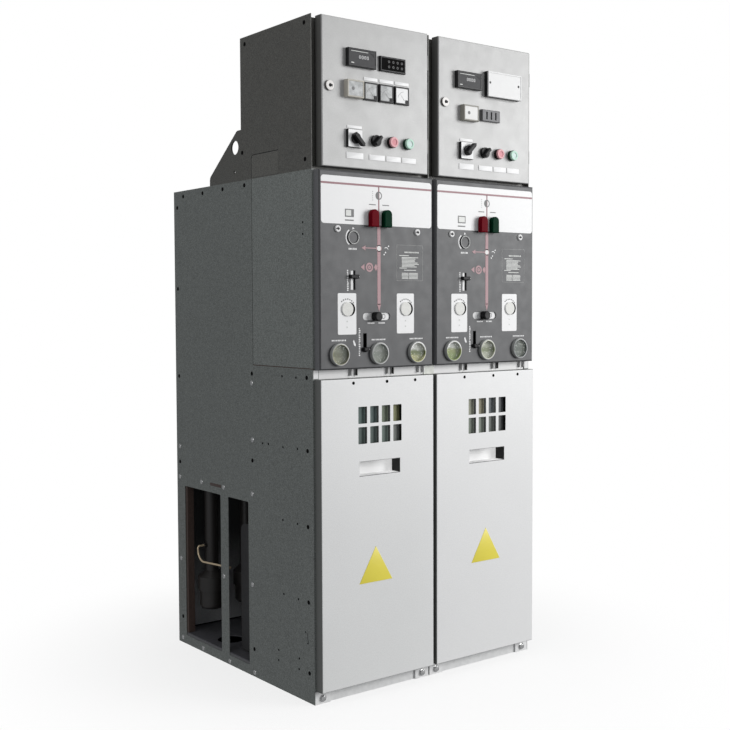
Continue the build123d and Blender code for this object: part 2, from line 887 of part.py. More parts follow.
def instrument_door(side, left):
    """Folded door with its cut-outs and two hinge barrels."""
    x0 = left + door_inset
    x1 = x0 + door_width
    door = pan(x0, x1, door_front, door_back, door_bottom, door_top, door_sheet, door_corner)
    low = door_front - cut_overrun
    high = door_front + door_sheet + cut_overrun
    edge = instrument_back_margin
    for back_x0, back_z0, back_x1, back_z1, proud in instruments(side, left).values():
        door -= slab(back_x0 + edge, back_x1 - edge, low, high, back_z0 + edge, back_z1 - edge)
    for x, z in control_places(left) + [on_door(left, cam_share, control_rise_share)]:
        door -= rod_along_y(x, z, control_stem_radius + control_fit, low, high)
    lock_x, lock_z = on_door(left, door_lock_share, door_lock_rise_share)
    door -= rod_along_y(lock_x, lock_z, door_lock_barrel + round_clearance, low, high)
    axis_x, axis_y = hinge_axis(left)
    bore = hinge_pin_radius + hinge_running
    half = hinge_leaf / 2
    for z in hinge_places():
        door += slab(x1 - door_sheet, axis_x, axis_y - half, axis_y + half, z, z + hinge_length)
        door += rod_along_z(axis_x, axis_y, hinge_barrel_radius, z, z + hinge_length)
        door -= rod_along_z(axis_x, axis_y, bore, z - cut_overrun, z + hinge_length + cut_overrun)
    return door


def door_lock(left):
    """Cam lock of the instrument door, with its latch plate behind."""
    x, z = on_door(left, door_lock_share, door_lock_rise_share)
    front = door_front - door_lock_proud
    head = fillet(front_edges(rod_along_y(x, z, door_lock_radius, front, door_front)), door_lock_proud / 3)
    head -= rod_along_y(x, z, door_lock_radius / 3, front - cut_overrun, front + door_lock_proud / 2)
    latch_y = door_back - door_sheet
    half = door_lock_cam_width / 2
    latch = slab(x - half, x + half, latch_y - door_sheet, latch_y, z - half, z + door_lock_cam)
    return head + rod_along_y(x, z, door_lock_barrel, door_front, latch_y) + latch


def control_base(x, z):
    """Collar, stem and keeper shared by the round door controls."""
    back = door_front - seat_gap
    keeper_front = door_front + door_sheet + seat_gap
    collar = rod_along_y(x, z, control_radius, back - control_collar, back)
    keeper = rod_along_y(x, z, control_keeper_radius, keeper_front, keeper_front + control_keeper)
    return collar + keeper + rod_along_y(x, z, control_stem_radius, back, keeper_front)


def selector_knob(left):
    """Two-way selector: collar, raised grip and keeper."""
    x, z = control_places(left)[0]
    top = door_front - seat_gap - control_collar
    half = grip_width / 2
    grip = slab(x - control_radius, x + control_radius, top - grip_proud, top, z - half, z + half)
    grip = fillet(front_edges(grip), half / 2)
    return control_base(x, z) + turned_about_y(grip, x, z, cam_rest_angle)


def door_lamps(left):
    """Two lamp heads with dished lenses."""
    lamps = []
    top = door_front - seat_gap - control_collar
    front = top - lamp_lens_proud
    for x, z in control_places(left)[1:]:
        lens = fillet(front_edges(rod_along_y(x, z, lamp_lens_radius, front, top)), lamp_dish)
        lens -= rod_along_y(x, z, lamp_dish_radius, front - cut_overrun, front + lamp_dish)
        lamps.append(control_base(x, z) + lens)
    return lamps


def cam_switch(side, left):
    """Cam switch handle: boss, pointed grip, spindle and keeper."""
    x, z = on_door(left, cam_share, control_rise_share)
    base = door_front - cam_plate_proud - seat_gap
    half = cam_grip_width / 2
    tail = cam_grip_length / 3
    nose = cam_grip_length - tail
    outline = Polyline(
        (-tail, -half), (nose - half, -half), (nose, 0), (nose - half, half), (-tail, half), close=True)
    grip = extrude(facing_front(x, base - cam_boss, z) * make_face(outline), cam_grip_proud)
    grip = fillet(front_edges(grip), half / 3)
    turn = cam_rest_angle if side == "right" else -cam_rest_angle
    handle = turned_about_y(grip, x, z, turn) + rod_along_y(x, z, cam_boss_radius, base - cam_boss, base)
    back = door_front + door_sheet + seat_gap
    handle += rod_along_y(x, z, control_stem_radius, base, back)
    return handle + rod_along_y(x, z, control_keeper_radius, back, back + control_keeper)


def lifting_lugs(left):
    """Gusset lugs on both sides of the deck, behind the instrument box."""
    lugs = []
    crest = deck_top + lug_height
    heel_y = box_back + lug_length
    outline = Polyline(
        (box_back, deck_top), (heel_y, deck_top), (heel_y, deck_top + lug_heel),
        (box_back + lug_crest, crest), (box_back, crest), close=True)
    x0, x1 = inside_width(left)
    for x in (x0, x1 - lug_thickness):
        plane = Plane(origin=(x, 0, 0), x_dir=(0, 1, 0), z_dir=(1, 0, 0))
        face = plane * make_face(outline)
        heel = face.vertices().group_by(Axis.Z)[1]
        top = face.vertices().group_by(Axis.Z)[-1].sort_by(Axis.Y)[-1:]
        lug = extrude(fillet(heel + top, lug_round), lug_thickness)
        low = x - cut_overrun
        high = x + lug_thickness + cut_overrun
        lug -= rod_along_x(box_back + lug_eye_setback, crest - lug_eye_drop, lug_eye_radius, low, high)
        hole_y = box_back + lug_hole_setback
        lug -= rod_along_x(hole_y, deck_top + lug_hole_height, lug_hole_radius, low, high)
        lugs.append(lug)
    return lugs


def paired(pieces_of):
    """One node that holds the like pieces of both cabinets."""
    return Compound(children=[piece for left in cabinet_lefts.values() for piece in pieces_of(left)])


def insulated_poles():
    """All poles, with an earth stud on the outermost two."""
    poles = []
    for side, left in cabinet_lefts.items():
        places = pole_places(left)
        studded = places[0] if side == "left" else places[-1]
        poles += [insulated_pole(x, outward[side] if x == studded else 0) for x in places]
    return Compound(children=poles)


os.makedirs("parts", exist_ok=True)

# Pieces that are alike in both cabinets
for side, left in cabinet_lefts.items():
    write(side + "_base_frame", base_frame(left))
    write(side + "_floor_plate", floor_plate(left))
    write(side + "_rear_cover", rear_cover(left))
    write(side + "_deck", deck(left))
    write(side + "_switch_module", switch_module(left))
    write(side + "_mimic_panel", mimic_panel(left))
    write(side + "_instrument_box", instrument_box(left))
    write(side + "_door_lock", door_lock(left))
    write(side + "_door_lamps", Compound(children=door_lamps(left)))
    write(side + "_selector_knob", selector_knob(left))
    write(side + "_cable_cover", cable_cover(left))
    write(side + "_cover_pane", cover_pane(left))
    write(side + "_cover_handle", cover_handle(left))
    write(side + "_interlock_lever", interlock_lever(left))
    write(side + "_low_lever", low_lever(left))
    write(side + "_slide_knob", slide_knob(left))
    for action, (x, z) in button_places(left).items():
        write(side + "_" + action + "_button", breaker_button(x, z))

# Pieces that differ from side to side
for side, left in cabinet_lefts.items():
    write(side + "_side_plate", side_plate(side, left))
    write(side + "_mechanism_cover", mechanism_cover(side, left))
    write(side + "_inner_side_plate", inner_side_plate(side, left))
    write(side + "_instrument_door", instrument_door(side, left))
    bodies = instrument_bodies(side, left) + [cam_plate_body(left)]
    write(side + "_door_instruments", Compound(children=bodies))
    write(side + "_cam_switch", cam_switch(side, left))

# Nodes that both cabinets share
write("viewport_bezels", paired(viewport_bezels))
write("viewport_glasses", paired(viewport_glasses))
write("panel_locks", paired(panel_locks))
write("shaft_covers", paired(shaft_covers))
write("charge_dials", paired(charge_dials))
write("trim_rails", paired(trim_rails))
write("hinge_brackets", paired(hinge_brackets))
write("lifting_lugs", paired(lifting_lugs))
write("insulated_poles", insulated_poles())
write("earth_leads", Compound(children=[earth_lead(side, left) for side, left in cabinet_lefts.items()]))
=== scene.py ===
"""Looks of two ganged solid insulated switchgear cabinets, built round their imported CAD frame."""

import math

import bmesh
import bpy
from mathutils import Matrix, Vector


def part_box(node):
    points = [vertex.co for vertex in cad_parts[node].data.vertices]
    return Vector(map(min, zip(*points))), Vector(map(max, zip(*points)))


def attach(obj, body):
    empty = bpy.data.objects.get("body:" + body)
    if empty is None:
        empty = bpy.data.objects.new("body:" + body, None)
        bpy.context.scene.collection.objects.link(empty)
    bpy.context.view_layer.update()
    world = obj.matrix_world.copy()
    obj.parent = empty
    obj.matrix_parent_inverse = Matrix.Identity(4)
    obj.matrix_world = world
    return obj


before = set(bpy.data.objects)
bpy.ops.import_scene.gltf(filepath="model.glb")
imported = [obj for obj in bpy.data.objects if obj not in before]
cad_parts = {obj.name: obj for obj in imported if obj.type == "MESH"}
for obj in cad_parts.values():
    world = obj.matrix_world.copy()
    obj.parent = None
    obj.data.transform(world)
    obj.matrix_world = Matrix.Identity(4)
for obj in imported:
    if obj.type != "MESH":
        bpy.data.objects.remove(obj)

bl_info = {
    "name": "Switchgear looks",
    "version": (1, 0, 0),
    "blender": (4, 5, 0),
    "location": "View3D > Sidebar > Switchgear",
    "description": "Finishes, prints, labels and fasteners of two ganged switchgear cabinets",
    "category": "Object",
}

MM = 0.001
SIDES = ("left", "right")
CORNER_POINTS = 5

# Places on a cabinet front, in millimetres: across from the cabinet's left edge, and up from the floor
DOOR_LABELS = (
    (105, 1606, 156, 1614), (102, 1523, 161, 1540), (182, 1524, 238, 1539), (243, 1524, 296, 1539),
    (301, 1524, 353, 1539))
METER_LABELS = ((163, 1743, 212, 1752), (219, 1743, 269, 1752), (275, 1743, 326, 1752))
INSTRUMENTS = {
    "left": {
        "digital_meter": (101.5, 1774.2, 199.5, 1824.2, 14), "display_unit": (218, 1774.6, 310, 1816.6, 8),
        "beige_relay": (95, 1688.5, 153, 1736.5, 18), "first_meter": (161, 1687.9, 209, 1737.7, 8),
        "second_meter": (215, 1687.9, 265, 1737.7, 8), "third_meter": (271, 1687.9, 323, 1737.7, 8)},
    "right": {
        "digital_meter": (84.9, 1760.8, 182.9, 1810.8, 14), "relay_unit": (206, 1747, 347, 1823, 18),
        "beige_relay": (107, 1666.1, 167, 1713.1, 18), "slotted_block": (189, 1672.6, 263, 1707.6, 10)},
}
CASE_TONES = {
    "left": {"beige_relay": ((0.43, 0.41, 0.36), 18)},
    "right": {"beige_relay": ((0.27, 0.26, 0.23), 18), "relay_unit": ((0.80, 0.80, 0.79), 4),
              "slotted_block": ((0.13, 0.13, 0.135), 10)},
}
CAM_PLATE = (127, 1578, 50, 10)
CAM_MARGIN = 1
DOOR_LOCK = (44.8, 1715, 6)
# The lock's dark disc: radius and depths behind its front; and the key's outline about the lock
LOCK_DISC = (4.3, 2.9, 2.2)
LOCK_KEY = ((-1, 6), (9, 2), (7, -4), (1, -1))
LAMP_PLACES = (262, 320)
LAMP_HEIGHT = 1578
LAMP_DISH = 9
# Red and green tones of the lamps' collars, rims and dishes
LAMP_TONES = (
    ((0.014, 0.010, 0.010), (0.010, 0.04, 0.022)), ((0.76, 0.37, 0.39), (0.46, 0.68, 0.56)),
    ((0.62, 0.25, 0.28), (0.56, 0.72, 0.65)))
# How far the instruments' faces lie behind their rims, and inside them
FACE_RECESS = 1.5
FACE_INSET = 4.4
FACE_THICKNESS = 0.6
MARK_THICKNESS = 0.25
# Digital meter: its corner mark from the upper right corner, and shares of width and height for the rest
CORNER_MARK = ((-22, -9), (-8, -9), (-8, -20))
DIGIT_SHARES = (0.38, 0.45)
# Lower, upper and right end of the meter's two bars, as shares of its face
BAR_SHARES = ((0.82, 0.85, 0.70), (0.17, 0.22, 0.20))
BAR_START_SHARE = 0.1
# Display unit: shares of height and width at which its keys stand, and their radii
KEY_ROW_SHARES = (0.68, 0.34)
KEY_COLUMN_SHARES = (0.34, 0.51, 0.68, 0.85)
KEY_RING = (3.4, 2.2)
# Beige relay: place of its button as shares, and its radius
BUTTON_SHARES = (0.34, 0.5)
RELAY_BUTTON = 5
# Relay unit: how far its screws stand from its ends, their share of height, radius, height and eased edge
RELAY_ENDS = (8, 13)
RELAY_SCREW_SHARE = 0.55
RELAY_SCREW = (3.4, 0.8, 0.2)
# Pointer meters: how far right of the middle and above the foot the pivot is, the scale's radii and angles
PIVOT = (8, 12)
SCALE_ARC = (25, 24.2, 95, 165)
NEEDLE = ((0, -1), (1, 0), (-16, 18))
METER_BOSS = 14
BOSS_HEIGHT = 1.2
METER_FINISHES = ("dark", "white", "milk", "mist", "black", "hole", "pale", "cream", "grey")
# Width, height, thickness and count of a meter's digits
DIGITS = (6, 9, 1.3, 4)
DIGIT_GAP = 3
DIGIT_DEPTH = 0.2
WHITE_BAND = (12, 1341, 408, 1472)
COUNTER = (93, 1361, 124, 1383)
BREAKER_SIGN = (212, 1425)
BREAKER_RING = (11.5, 8.8)
# Lower and upper edge of the busbar line; half width and end of the lines that drop from it
BUSBAR_LINE = (1448.7, 1454.3)
BUSBAR_DROP = (2.2, 1450)
BRANCH_LINE = (5.7, 1118)
BRANCH_NODE = (212, 1277)
NODE_RING = (10, 7.5)
NODE_DOT = 7.2
SIGN_RINGS = ((178, 1223, 13, 8), (178, 1223, 5.5, 1.5))
BRANCH_SYMBOLS = (
    ((202, 1275.6), (202, 1278.4), (163, 1278.4), (165, 1284), (150, 1277), (165, 1270), (163, 1275.6)),
    ((205, 1120), (219, 1120), (212, 1098)), ((147, 1223), (160, 1232), (160, 1214)),
    ((194, 1223), (201, 1233), (208, 1223), (201, 1213)))
# Rows of printed bars: place of the first, width, height, count, step, and the least share of the width
WHITE_ROWS = (
    (105, 1273, 3.8, 5, 6, (5, 0), 0.7), (171, 1066, 3.8, 4, 5, (5, 0), 0.7),
    (210, 1066, 3.8, 4, 5, (5, 0), 0.7), (99, 1158, 6.5, 3, 12, (0, 5), 0.3),
    (139, 976, 6.5, 3, 16, (0, 5), 0.3))
PALE_ROWS = (
    (306, 1268.5, 4.2, 4, 10, (5.4, 0), 0.7), (287, 1259, 35, 2, 1, (0, 0), 1.0),
    (295.5, 1227, 64, 1.9, 8, (0, 3.8), 0.75), (287, 1223, 27, 1.8, 1, (0, 0), 1.0),
    (304, 1217, 45, 1.9, 1, (0, 0), 1.0), (295.5, 1193, 25, 1.9, 5, (0, 3.8), 0.95),
    (322, 1193, 35, 1.9, 5, (0, 3.8), 0.95))
# Row over each viewport: how far left of the middle it starts, then as above; and below each shaft cover
VIEWPORT_ROW = (25, 1019, 3.8, 4, 10, (5, 0), 0.7)
SHAFT_ROW = (2, 50, 4, 4, 2, (0, 16), 1.0)
GREY_ROWS = (
    (93, 1352, 30, 3.5, 1, (0, 0), 1.0), (177, 1399, 24, 2.6, 1, (0, 0), 1.0),
    (225, 1399, 24, 2.6, 1, (0, 0), 1.0), (189, 1412, 2, 2, 5, (0, 6), 1.0))
SHAFT_PLATES = ((67, 1035, 131, 1150), (277, 1035, 341, 1150))
SHAFT_COVERS = ((99, 1105.5), (309, 1105.5))
# Dashes over a shaft cover: outer and inner radius, and their turn and starts in degrees
SHAFT_DASHES = (30, 26.5)
DASH_TURN = 9
DASH_STARTS = range(36, 140, 15)
# How far right of a shaft cover its shade lies, and the shade's radius
SHAFT_SHADE = (8.5, 19.6)
PANEL_LOCKS = ((67, 1327), (353, 1327))
# Width and height of a panel lock's keyhole, and the outline of its wedge about the lock
LOCK_KEYHOLE = (9.2, 4.4)
LOCK_WEDGE = ((-9, 0), (1.5, 5.2), (1.5, -4.4))
KEYHOLE_DEPTHS = (2.5, 3.2)
WEDGE_DEPTHS = (5.0, 5.2)
CHARGE_DIAL = (121, 1305)
# The dial's arc: outer and inner radius, start and end in degrees; its arrow; its rim's radii and depth
DIAL_ARC = (26, 22, 125, 235)
DIAL_ARROW = ((118, 1327), (126, 1329), (120, 1334))
DIAL_RIM = (18.4, 17.4, 4)
HAND_SIGN = ((119, 1016), (122, 1020), (129, 1006), (127, 1001), (122, 1006))
SWITCH_DOTS = ((236, 1266), (247, 1284), (231, 1260))
SWITCH_DOT = 2.2
SWITCH_ARC = (238, 1272, 9, 7, 20, 130)
LEVER_SLOT = (120.5, 1186.5, 16, 54)
LOW_SLOT = (161.5, 1011, 13, 53)
KNOB_SLOT = (203.5, 1084.5, 98, 21)
# How far the strips behind the slots reach past them: below and above, and to each side
LEVER_REACH = (14, 33)
KNOB_REACH = 46
SHUTTER_DEPTHS = (-3.25, -3.05)
SHUTTER_MARGIN = 5
# The shutter's dark edge: how far it reaches inside and outside the slot
SHADE_REACH = (6, 4)
SHADE_DEPTHS = (-3.04, -3.02)
LOW_BACK_MARGIN = 6
LOW_BACK_DEPTHS = (-14, -12)
# How far right of the knob's slot its mark lies, and the mark's radii
KNOB_MARK = (27, 7, 5)
KNOB_MARK_DEPTHS = (-3.06, -3.02)
LEVER_TIPS = (("interlock_lever", 135.5, 1196), ("low_lever", 171.5, 992.5))
TIP_OUTLINE = ((-6, -3.2), (-0.6, 0), (-6, 3.2))
TIP_DEPTHS = (11, 11.3)
PRINT_BLOCK = (277, 1187, 374, 1289)
BORDER_WIDTH = 0.24
VIEWPORT_PLACES = (70.5, 210, 349.5)
VIEWPORT_HEIGHT = 980
VIEWPORT_RING = 28.6
PORT_RADIUS = 26
PORT_DEPTHS = (3.4, -2)
# Upper, middle and lower colours behind each viewport, and how much they darken to the right
VIEWPORT_TONES = {
    "left": (
        ((0.24, 0.24, 0.18), (0.15, 0.15, 0.09), (0.25, 0.245, 0.17), 18.0),
        ((0.30, 0.31, 0.30), (0.20, 0.22, 0.20), (0.25, 0.265, 0.24), 6.0),
        ((0.80, 0.80, 0.74), (0.13, 0.16, 0.03), (0.45, 0.44, 0.20), 4.0)),
    "right": (
        ((0.74, 0.74, 0.68), (0.30, 0.34, 0.12), (0.23, 0.30, 0.08), 4.0),
        ((0.50, 0.51, 0.42), (0.20, 0.23, 0.11), (0.50, 0.51, 0.42), 6.0),
        ((0.10, 0.115, 0.115), (0.07, 0.085, 0.085), (0.12, 0.135, 0.135), 4.0)),
}
BRACKETS = (139, 272, 388)
# Left edge of the first slot, width and step; and the height between the two rows
PANE_SLOTS = (134.5, 31, 42)
PANE_SPLIT = 781
# What shows through each column of slots, upper and lower
PANE_TONES = {
    "left": (((0.11, 0.15, 0.14), (0.12, 0.15, 0.14)), ((0.11, 0.145, 0.14), (0.12, 0.15, 0.14)),
             ((0.17, 0.20, 0.15), (0.16, 0.20, 0.18)), ((0.24, 0.245, 0.13), (0.19, 0.20, 0.19))),
    "right": (((0.32, 0.33, 0.26), (0.23, 0.26, 0.22)), ((0.31, 0.29, 0.21), (0.27, 0.30, 0.26)),
              ((0.155, 0.17, 0.18), (0.21, 0.225, 0.21)), ((0.13, 0.135, 0.14), (0.115, 0.12, 0.12))),
}
# Opening of the pocket handle
POCKET = (138, 634.5, 286, 675.5)
# Lines along the pocket's lower and upper edge: how far they reach below and above it
POCKET_LINE = (0.8, 0.7)
POCKET_EDGE = (0.5, 0.6)
POCKET_DEPTHS = (-0.3, 0.1)
FOOT_WIDTH = 54
CUP_RIM = 8
COVER_PLUGS = ((118, 899), (238, 899), (343, 899))
COVER_PLUG = 4.6
TRIANGLES = {"left": ((136, 327), (255, 327), (195, 429)), "right": ((147, 327), (266, 327), (206, 429))}
FOOT_BOLTS = ((28, 16), (392, 16))
BASE_JOINT = (417.6, 3, 421.4, 35)
RAIL_ENDS = {"left": (2, 914, 18, 937), "right": (402, 914, 418, 937)}
RAIL_END_DEPTHS = (0.05, 0.4)
FLOOR_SEAL = (4, 38.6, 416, 42)
FLOOR_SEAL_DEPTHS = (2.1, 5.6)
DOOR_SEAL = ((30, 1506, 390, 1514), (30, 1886, 390, 1894), (30, 1514, 38, 1886), (382, 1514, 390, 1886))
DOOR_SEAL_DEPTHS = (-15.9, -10.0)

# Places on a cabinet side, in millimetres: back from the front of the cable cover, and up from the floor
SIDE_SCREWS = (
    (657, 553), (519, 553), (350, 554), (800, 554), (798, 655), (346, 717), (348, 887), (798, 282),
    (521, 273), (353, 279), (792, 17), (657, 12), (490, 11), (344, 13))
SIDE_PLUGS = (
    (346, 915), (59, 916), (798, 604), (347, 655), (57, 712), (57, 499), (56, 286), (54, 85), (790, 88),
    (345, 84), (756, 1471), (630, 1471), (506, 1473), (379, 1474), (797, 1437), (799, 1173), (798, 887))
SIDE_RIVETS = (
    (73, 1346), (74, 1314), (183, 915), (112, 914), (289, 712), (258, 713), (181, 711), (107, 713),
    (184, 500), (110, 500), (182, 285), (107, 285), (211, 114), (212, 84), (105, 115), (106, 84))
BOX_SCREWS = ((61, 1888), (370, 1886), (389, 1571), (60, 1518))
WIRING_COVER = (195, 1493, 337, 1557)
WIRING_CORNER = 10
# The slanted mark low on the side sheet, and the dots at its ends
SLANT_MARK = ((57, 168), (58.5, 168), (66, 197), (64.5, 198))
SLANT_DOTS = ((73, 198), (62, 168))
SLANT_DOT = 2.4
SIDE_STRIP = (534, 549, 602, 558)
INNER_POST = (757, 40, 769, 526)
INNER_POST_DEPTHS = (-26, -3)
INNER_PANEL = (372, 42, 490, 442)
INNER_PANEL_CORNER = 26
INNER_PANEL_DEPTHS = (-46, -44)
PLUG_HEIGHT = 0.8
WASHER = 1.6
# Inside an instrument box, in millimetres across and up
MOUNTING_PLATE = (56, 1532, 364, 1856)
MOUNTING_GAP = 3
PLATE_FRONT = 2
TERMINAL_ROWS = (1622, 1766)
# A terminal row's rail: how far it ends inside the plate, half heights of its lips and web, their fronts
RAIL_INSET = 12
RAIL_HALVES = (17.5, 12)
RAIL_FRONTS = (8.5, 7.5)
# Terminals and their slits: start inside the plate, width, height, and depth with what lies below it
TERMINAL_COUNT = 22
TERMINAL_STEP = 11
TERMINAL = (24, 9, 44, 34, 9)
TERMINAL_SLIT = (26, 5, 7, 0.6, 42.9)
TERMINAL_SLIT_DROP = 14
WIRING_DUCTS = (1560, 1694, 1830)
# A wiring duct: how far it ends inside the plate, half height and front; its slits as for the terminals
DUCT = (6, 16, 42)
DUCT_SLIT_COUNT = 27
DUCT_SLIT_STEP = 10.5
DUCT_SLIT = (12, 4, 9, 0.6, 41.8)
DUCT_SLIT_RISE = 10
REAR_SCREWS = tuple((u, v) for u in (14, 210, 406) for v in (60, 400, 740, 1080, 1440))

# Plastics and prints: linear colour, roughness, mottling, gloss
PLASTICS = {
    "resin": ((0.022, 0.020, 0.019), 0.4, 0.2, 0.5),
    "lock_face": ((0.80, 0.80, 0.79), 0.45, 0.08, 0.2),
    "black": ((0.007, 0.007, 0.008), 0.5, 0.3, 0.2),
    "hole": ((0.003, 0.003, 0.003), 0.9, 0.3, 0.1),
    "dark": ((0.045, 0.045, 0.047), 0.55, 0.3, 0.2),
    "white": ((0.91, 0.91, 0.91), 0.45, 0.04, 0.32),
    "label": ((0.94, 0.94, 0.94), 0.45, 0.03, 0.42),
    "milk": ((0.82, 0.82, 0.81), 0.45, 0.06, 0.15),
    "cream": ((0.76, 0.74, 0.68), 0.45, 0.1, 0.2),
    "pale": ((0.50, 0.51, 0.49), 0.4, 0.12, 0.5),
    "mist": ((0.43, 0.44, 0.44), 0.5, 1.3, 0.2),
    "grey": ((0.20, 0.20, 0.20), 0.5, 0.2, 0.1),
    "line": ((0.055, 0.055, 0.06), 0.6, 0.2, 0.1),
    "red": ((0.115, 0.002, 0.007), 0.3, 0.15, 0.012),
    "green": ((0.001, 0.024, 0.011), 0.3, 0.15, 0.012),
    "maroon": ((0.23, 0.10, 0.115), 0.5, 0.1, 0.5),
    "pink": ((0.40, 0.255, 0.27), 0.5, 0.1, 0.2),
    "yellow": ((0.85, 0.62, 0.075), 0.35, 0.06, 0.5),
}
# Metals: linear colour, roughness, strength and fineness of the spangle, share of metal
METALS = {
    "floor": ((0.095, 0.095, 0.105), 0.5, 0.30, 70.0, 0.3),
    "galvanised": ((0.42, 0.43, 0.40), 0.5, 0.20, 60.0, 0.3),
    "fastener": ((0.78, 0.78, 0.77), 0.24, 0.10, 300.0, 1.0),
    "copper": ((0.80, 0.56, 0.38), 0.35, 0.2, 200.0, 0.3),
}
# Share of a paint on sheets that look lighter than their neighbours; on the mimic panel's returns it is a
# painted highlight, and on the right cover it is painted light where the lamps reach it less
UPPER_LIGHT = 1.14
WIRING_LIGHT = 1.25
RETURN_HIGHLIGHT = 2.15
COVER_PAINTED_LIGHT = {"left": 1.0, "right": 1.055}
# Painted shade: heights in metres between which a paint darkens, and its share of light from the second on;
# the doors darken towards the top, the cable covers towards the bottom and the rear cover's inside towards
# the top
DOOR_PAINTED_SHADE = (1.66, 1.94, 0.89)
COVER_PAINTED_SHADE = (0.88, 0.06, 0.92)
REAR_PAINTED_SHADE = (0.12, 0.36, 0.12)
# Finish of the CAD nodes that need no finish of their own: shared ones, and those of each side
SHARED_NODES = {
    "viewport_bezels": "bezels", "viewport_glasses": "glass", "panel_locks": "lock_face",
    "shaft_covers": "discs", "charge_dials": "panel", "hinge_brackets": "black", "lifting_lugs": "box",
    "insulated_poles": "resin", "earth_leads": "copper", "trim_rails": "rails"}
SIDE_NODES = {
    "floor_plate": "floor", "side_plate": "cabinet", "mechanism_cover": "upper", "deck": "cabinet",
    "inner_side_plate": "galvanised", "switch_module": "module", "mimic_panel": "panel",
    "instrument_box": "box", "cam_switch": "black", "selector_knob": "black", "open_button": "red",
    "close_button": "green", "interlock_lever": "black", "low_lever": "black", "slide_knob": "black"}

# Place, target and size of each light, in metres
LIGHTS = {
    "key": ((3.9, -4.3, 2.1), (0.1, -0.4, 1.0), 3.0), "fill": ((-4.6, -1.2, 2.0), (0.0, 0.0, 0.9), 3.0),
    "top": ((-0.3, -1.0, 4.8), (0.0, 0.0, 0.9), 3.2)}
# How opaque the floor is by the cabinets, and the distances in metres over which it fades
FLOOR_ALPHA = 0.24
FLOOR_FADE = (0.4, 1.3)
FLOOR_RADIUS = 7000
SENSOR_WIDTH = 36.0
# The dark sheet under the base: how far inside the base it ends, and its depths
SHADE_MARGIN = 8
SHADE_SHEET = (-0.3, -0.2)


class FinishSettings(bpy.types.PropertyGroup):
    """Colours and surface values of the finishes."""

    cabinet: bpy.props.FloatVectorProperty(
        name="Cabinet paint", description="Linear colour of the side sheets", subtype="COLOR",
        default=(0.165, 0.178, 0.170))
    box: bpy.props.FloatVectorProperty(
        name="Box paint", description="Linear colour of the instrument boxes", subtype="COLOR",
        default=(0.095, 0.094, 0.085))
    door: bpy.props.FloatVectorProperty(
        name="Door paint", description="Linear colour of the instrument doors", subtype="COLOR",
        default=(0.40, 0.40, 0.395))
    cover: bpy.props.FloatVectorProperty(
        name="Cover paint", description="Linear colour of the cable covers", subtype="COLOR",
        default=(0.695, 0.70, 0.695))
    panel: bpy.props.FloatVectorProperty(
        name="Panel paint", description="Linear colour of the mimic panels", subtype="COLOR",
        default=(0.063, 0.064, 0.067))
    grain: bpy.props.FloatProperty(
        name="Grain", description="Strength of the mottling in the paints", default=0.10, min=0.0, max=1.0)
    peel: bpy.props.FloatProperty(
        name="Orange peel", description="Strength of the fine bumps in the paints", default=0.06, min=0.0,
        max=1.0)


class PieceSettings(bpy.types.PropertyGroup):
    """Sizes of plates, prints and fasteners, in millimetres."""

    label_thickness: bpy.props.FloatProperty(
        name="Label thickness", description="Thickness of the bare label plates", default=1.5, min=0.1)
    label_corner: bpy.props.FloatProperty(
        name="Label corner", description="Corner radius of the bare label plates", default=1.2, min=0.0)
    print_thickness: bpy.props.FloatProperty(
        name="Print thickness", description="Height of the printed marks above the panel", default=0.25,
        min=0.05)
    plate_thickness: bpy.props.FloatProperty(
        name="Plate thickness", description="Thickness of the triangular cover plates", default=0.8, min=0.1)
    screw_radius: bpy.props.FloatProperty(
        name="Screw radius", description="Radius of the bright screw heads", default=7.6, min=1.0)
    screw_height: bpy.props.FloatProperty(
        name="Screw height", description="Height of the bright screw heads", default=2.2, min=0.2)
    plug_radius: bpy.props.FloatProperty(
        name="Plug radius", description="Radius of the black blanking plugs", default=6.2, min=1.0)
    rivet_radius: bpy.props.FloatProperty(
        name="Rivet radius", description="Radius of the small dark rivets", default=3.2, min=0.5)
    bolt_radius: bpy.props.FloatProperty(
        name="Bolt radius", description="Corner radius of the hexagon bolt heads", default=8.0, min=1.0)
    seed: bpy.props.IntProperty(
        name="Seed", description="Seed of turned heads and bar lengths", default=7, min=0)


class StageSettings(bpy.types.PropertyGroup):
    """Camera, floor and lights."""

    camera_place: bpy.props.FloatVectorProperty(
        name="Camera place", description="Place of the camera", unit="LENGTH", subtype="TRANSLATION",
        default=(-2.19295, -2.93913, 1.11178))
    yaw: bpy.props.FloatProperty(
        name="Yaw", description="Turn of the view to the right of +Y", subtype="ANGLE",
        default=math.radians(37.525))
    pitch: bpy.props.FloatProperty(
        name="Pitch", description="Tilt of the view above the horizon", subtype="ANGLE",
        default=math.radians(-2.949))
    roll: bpy.props.FloatProperty(
        name="Roll", description="Roll of the view", subtype="ANGLE", default=math.radians(-0.225))
    lens: bpy.props.FloatProperty(
        name="Lens", description="Focal length in millimetres", default=55.63, min=1.0)
    key_power: bpy.props.FloatProperty(
        name="Key light", description="Power of the key light in watts", default=330.0, min=0.0)
    fill_power: bpy.props.FloatProperty(
        name="Fill light", description="Power of the fill light in watts", default=38.0, min=0.0)
    top_power: bpy.props.FloatProperty(
        name="Top light", description="Power of the top light in watts", default=60.0, min=0.0)
    ambient: bpy.props.FloatProperty(
        name="Ambient", description="Strength of the light from all round", default=0.26, min=0.0)


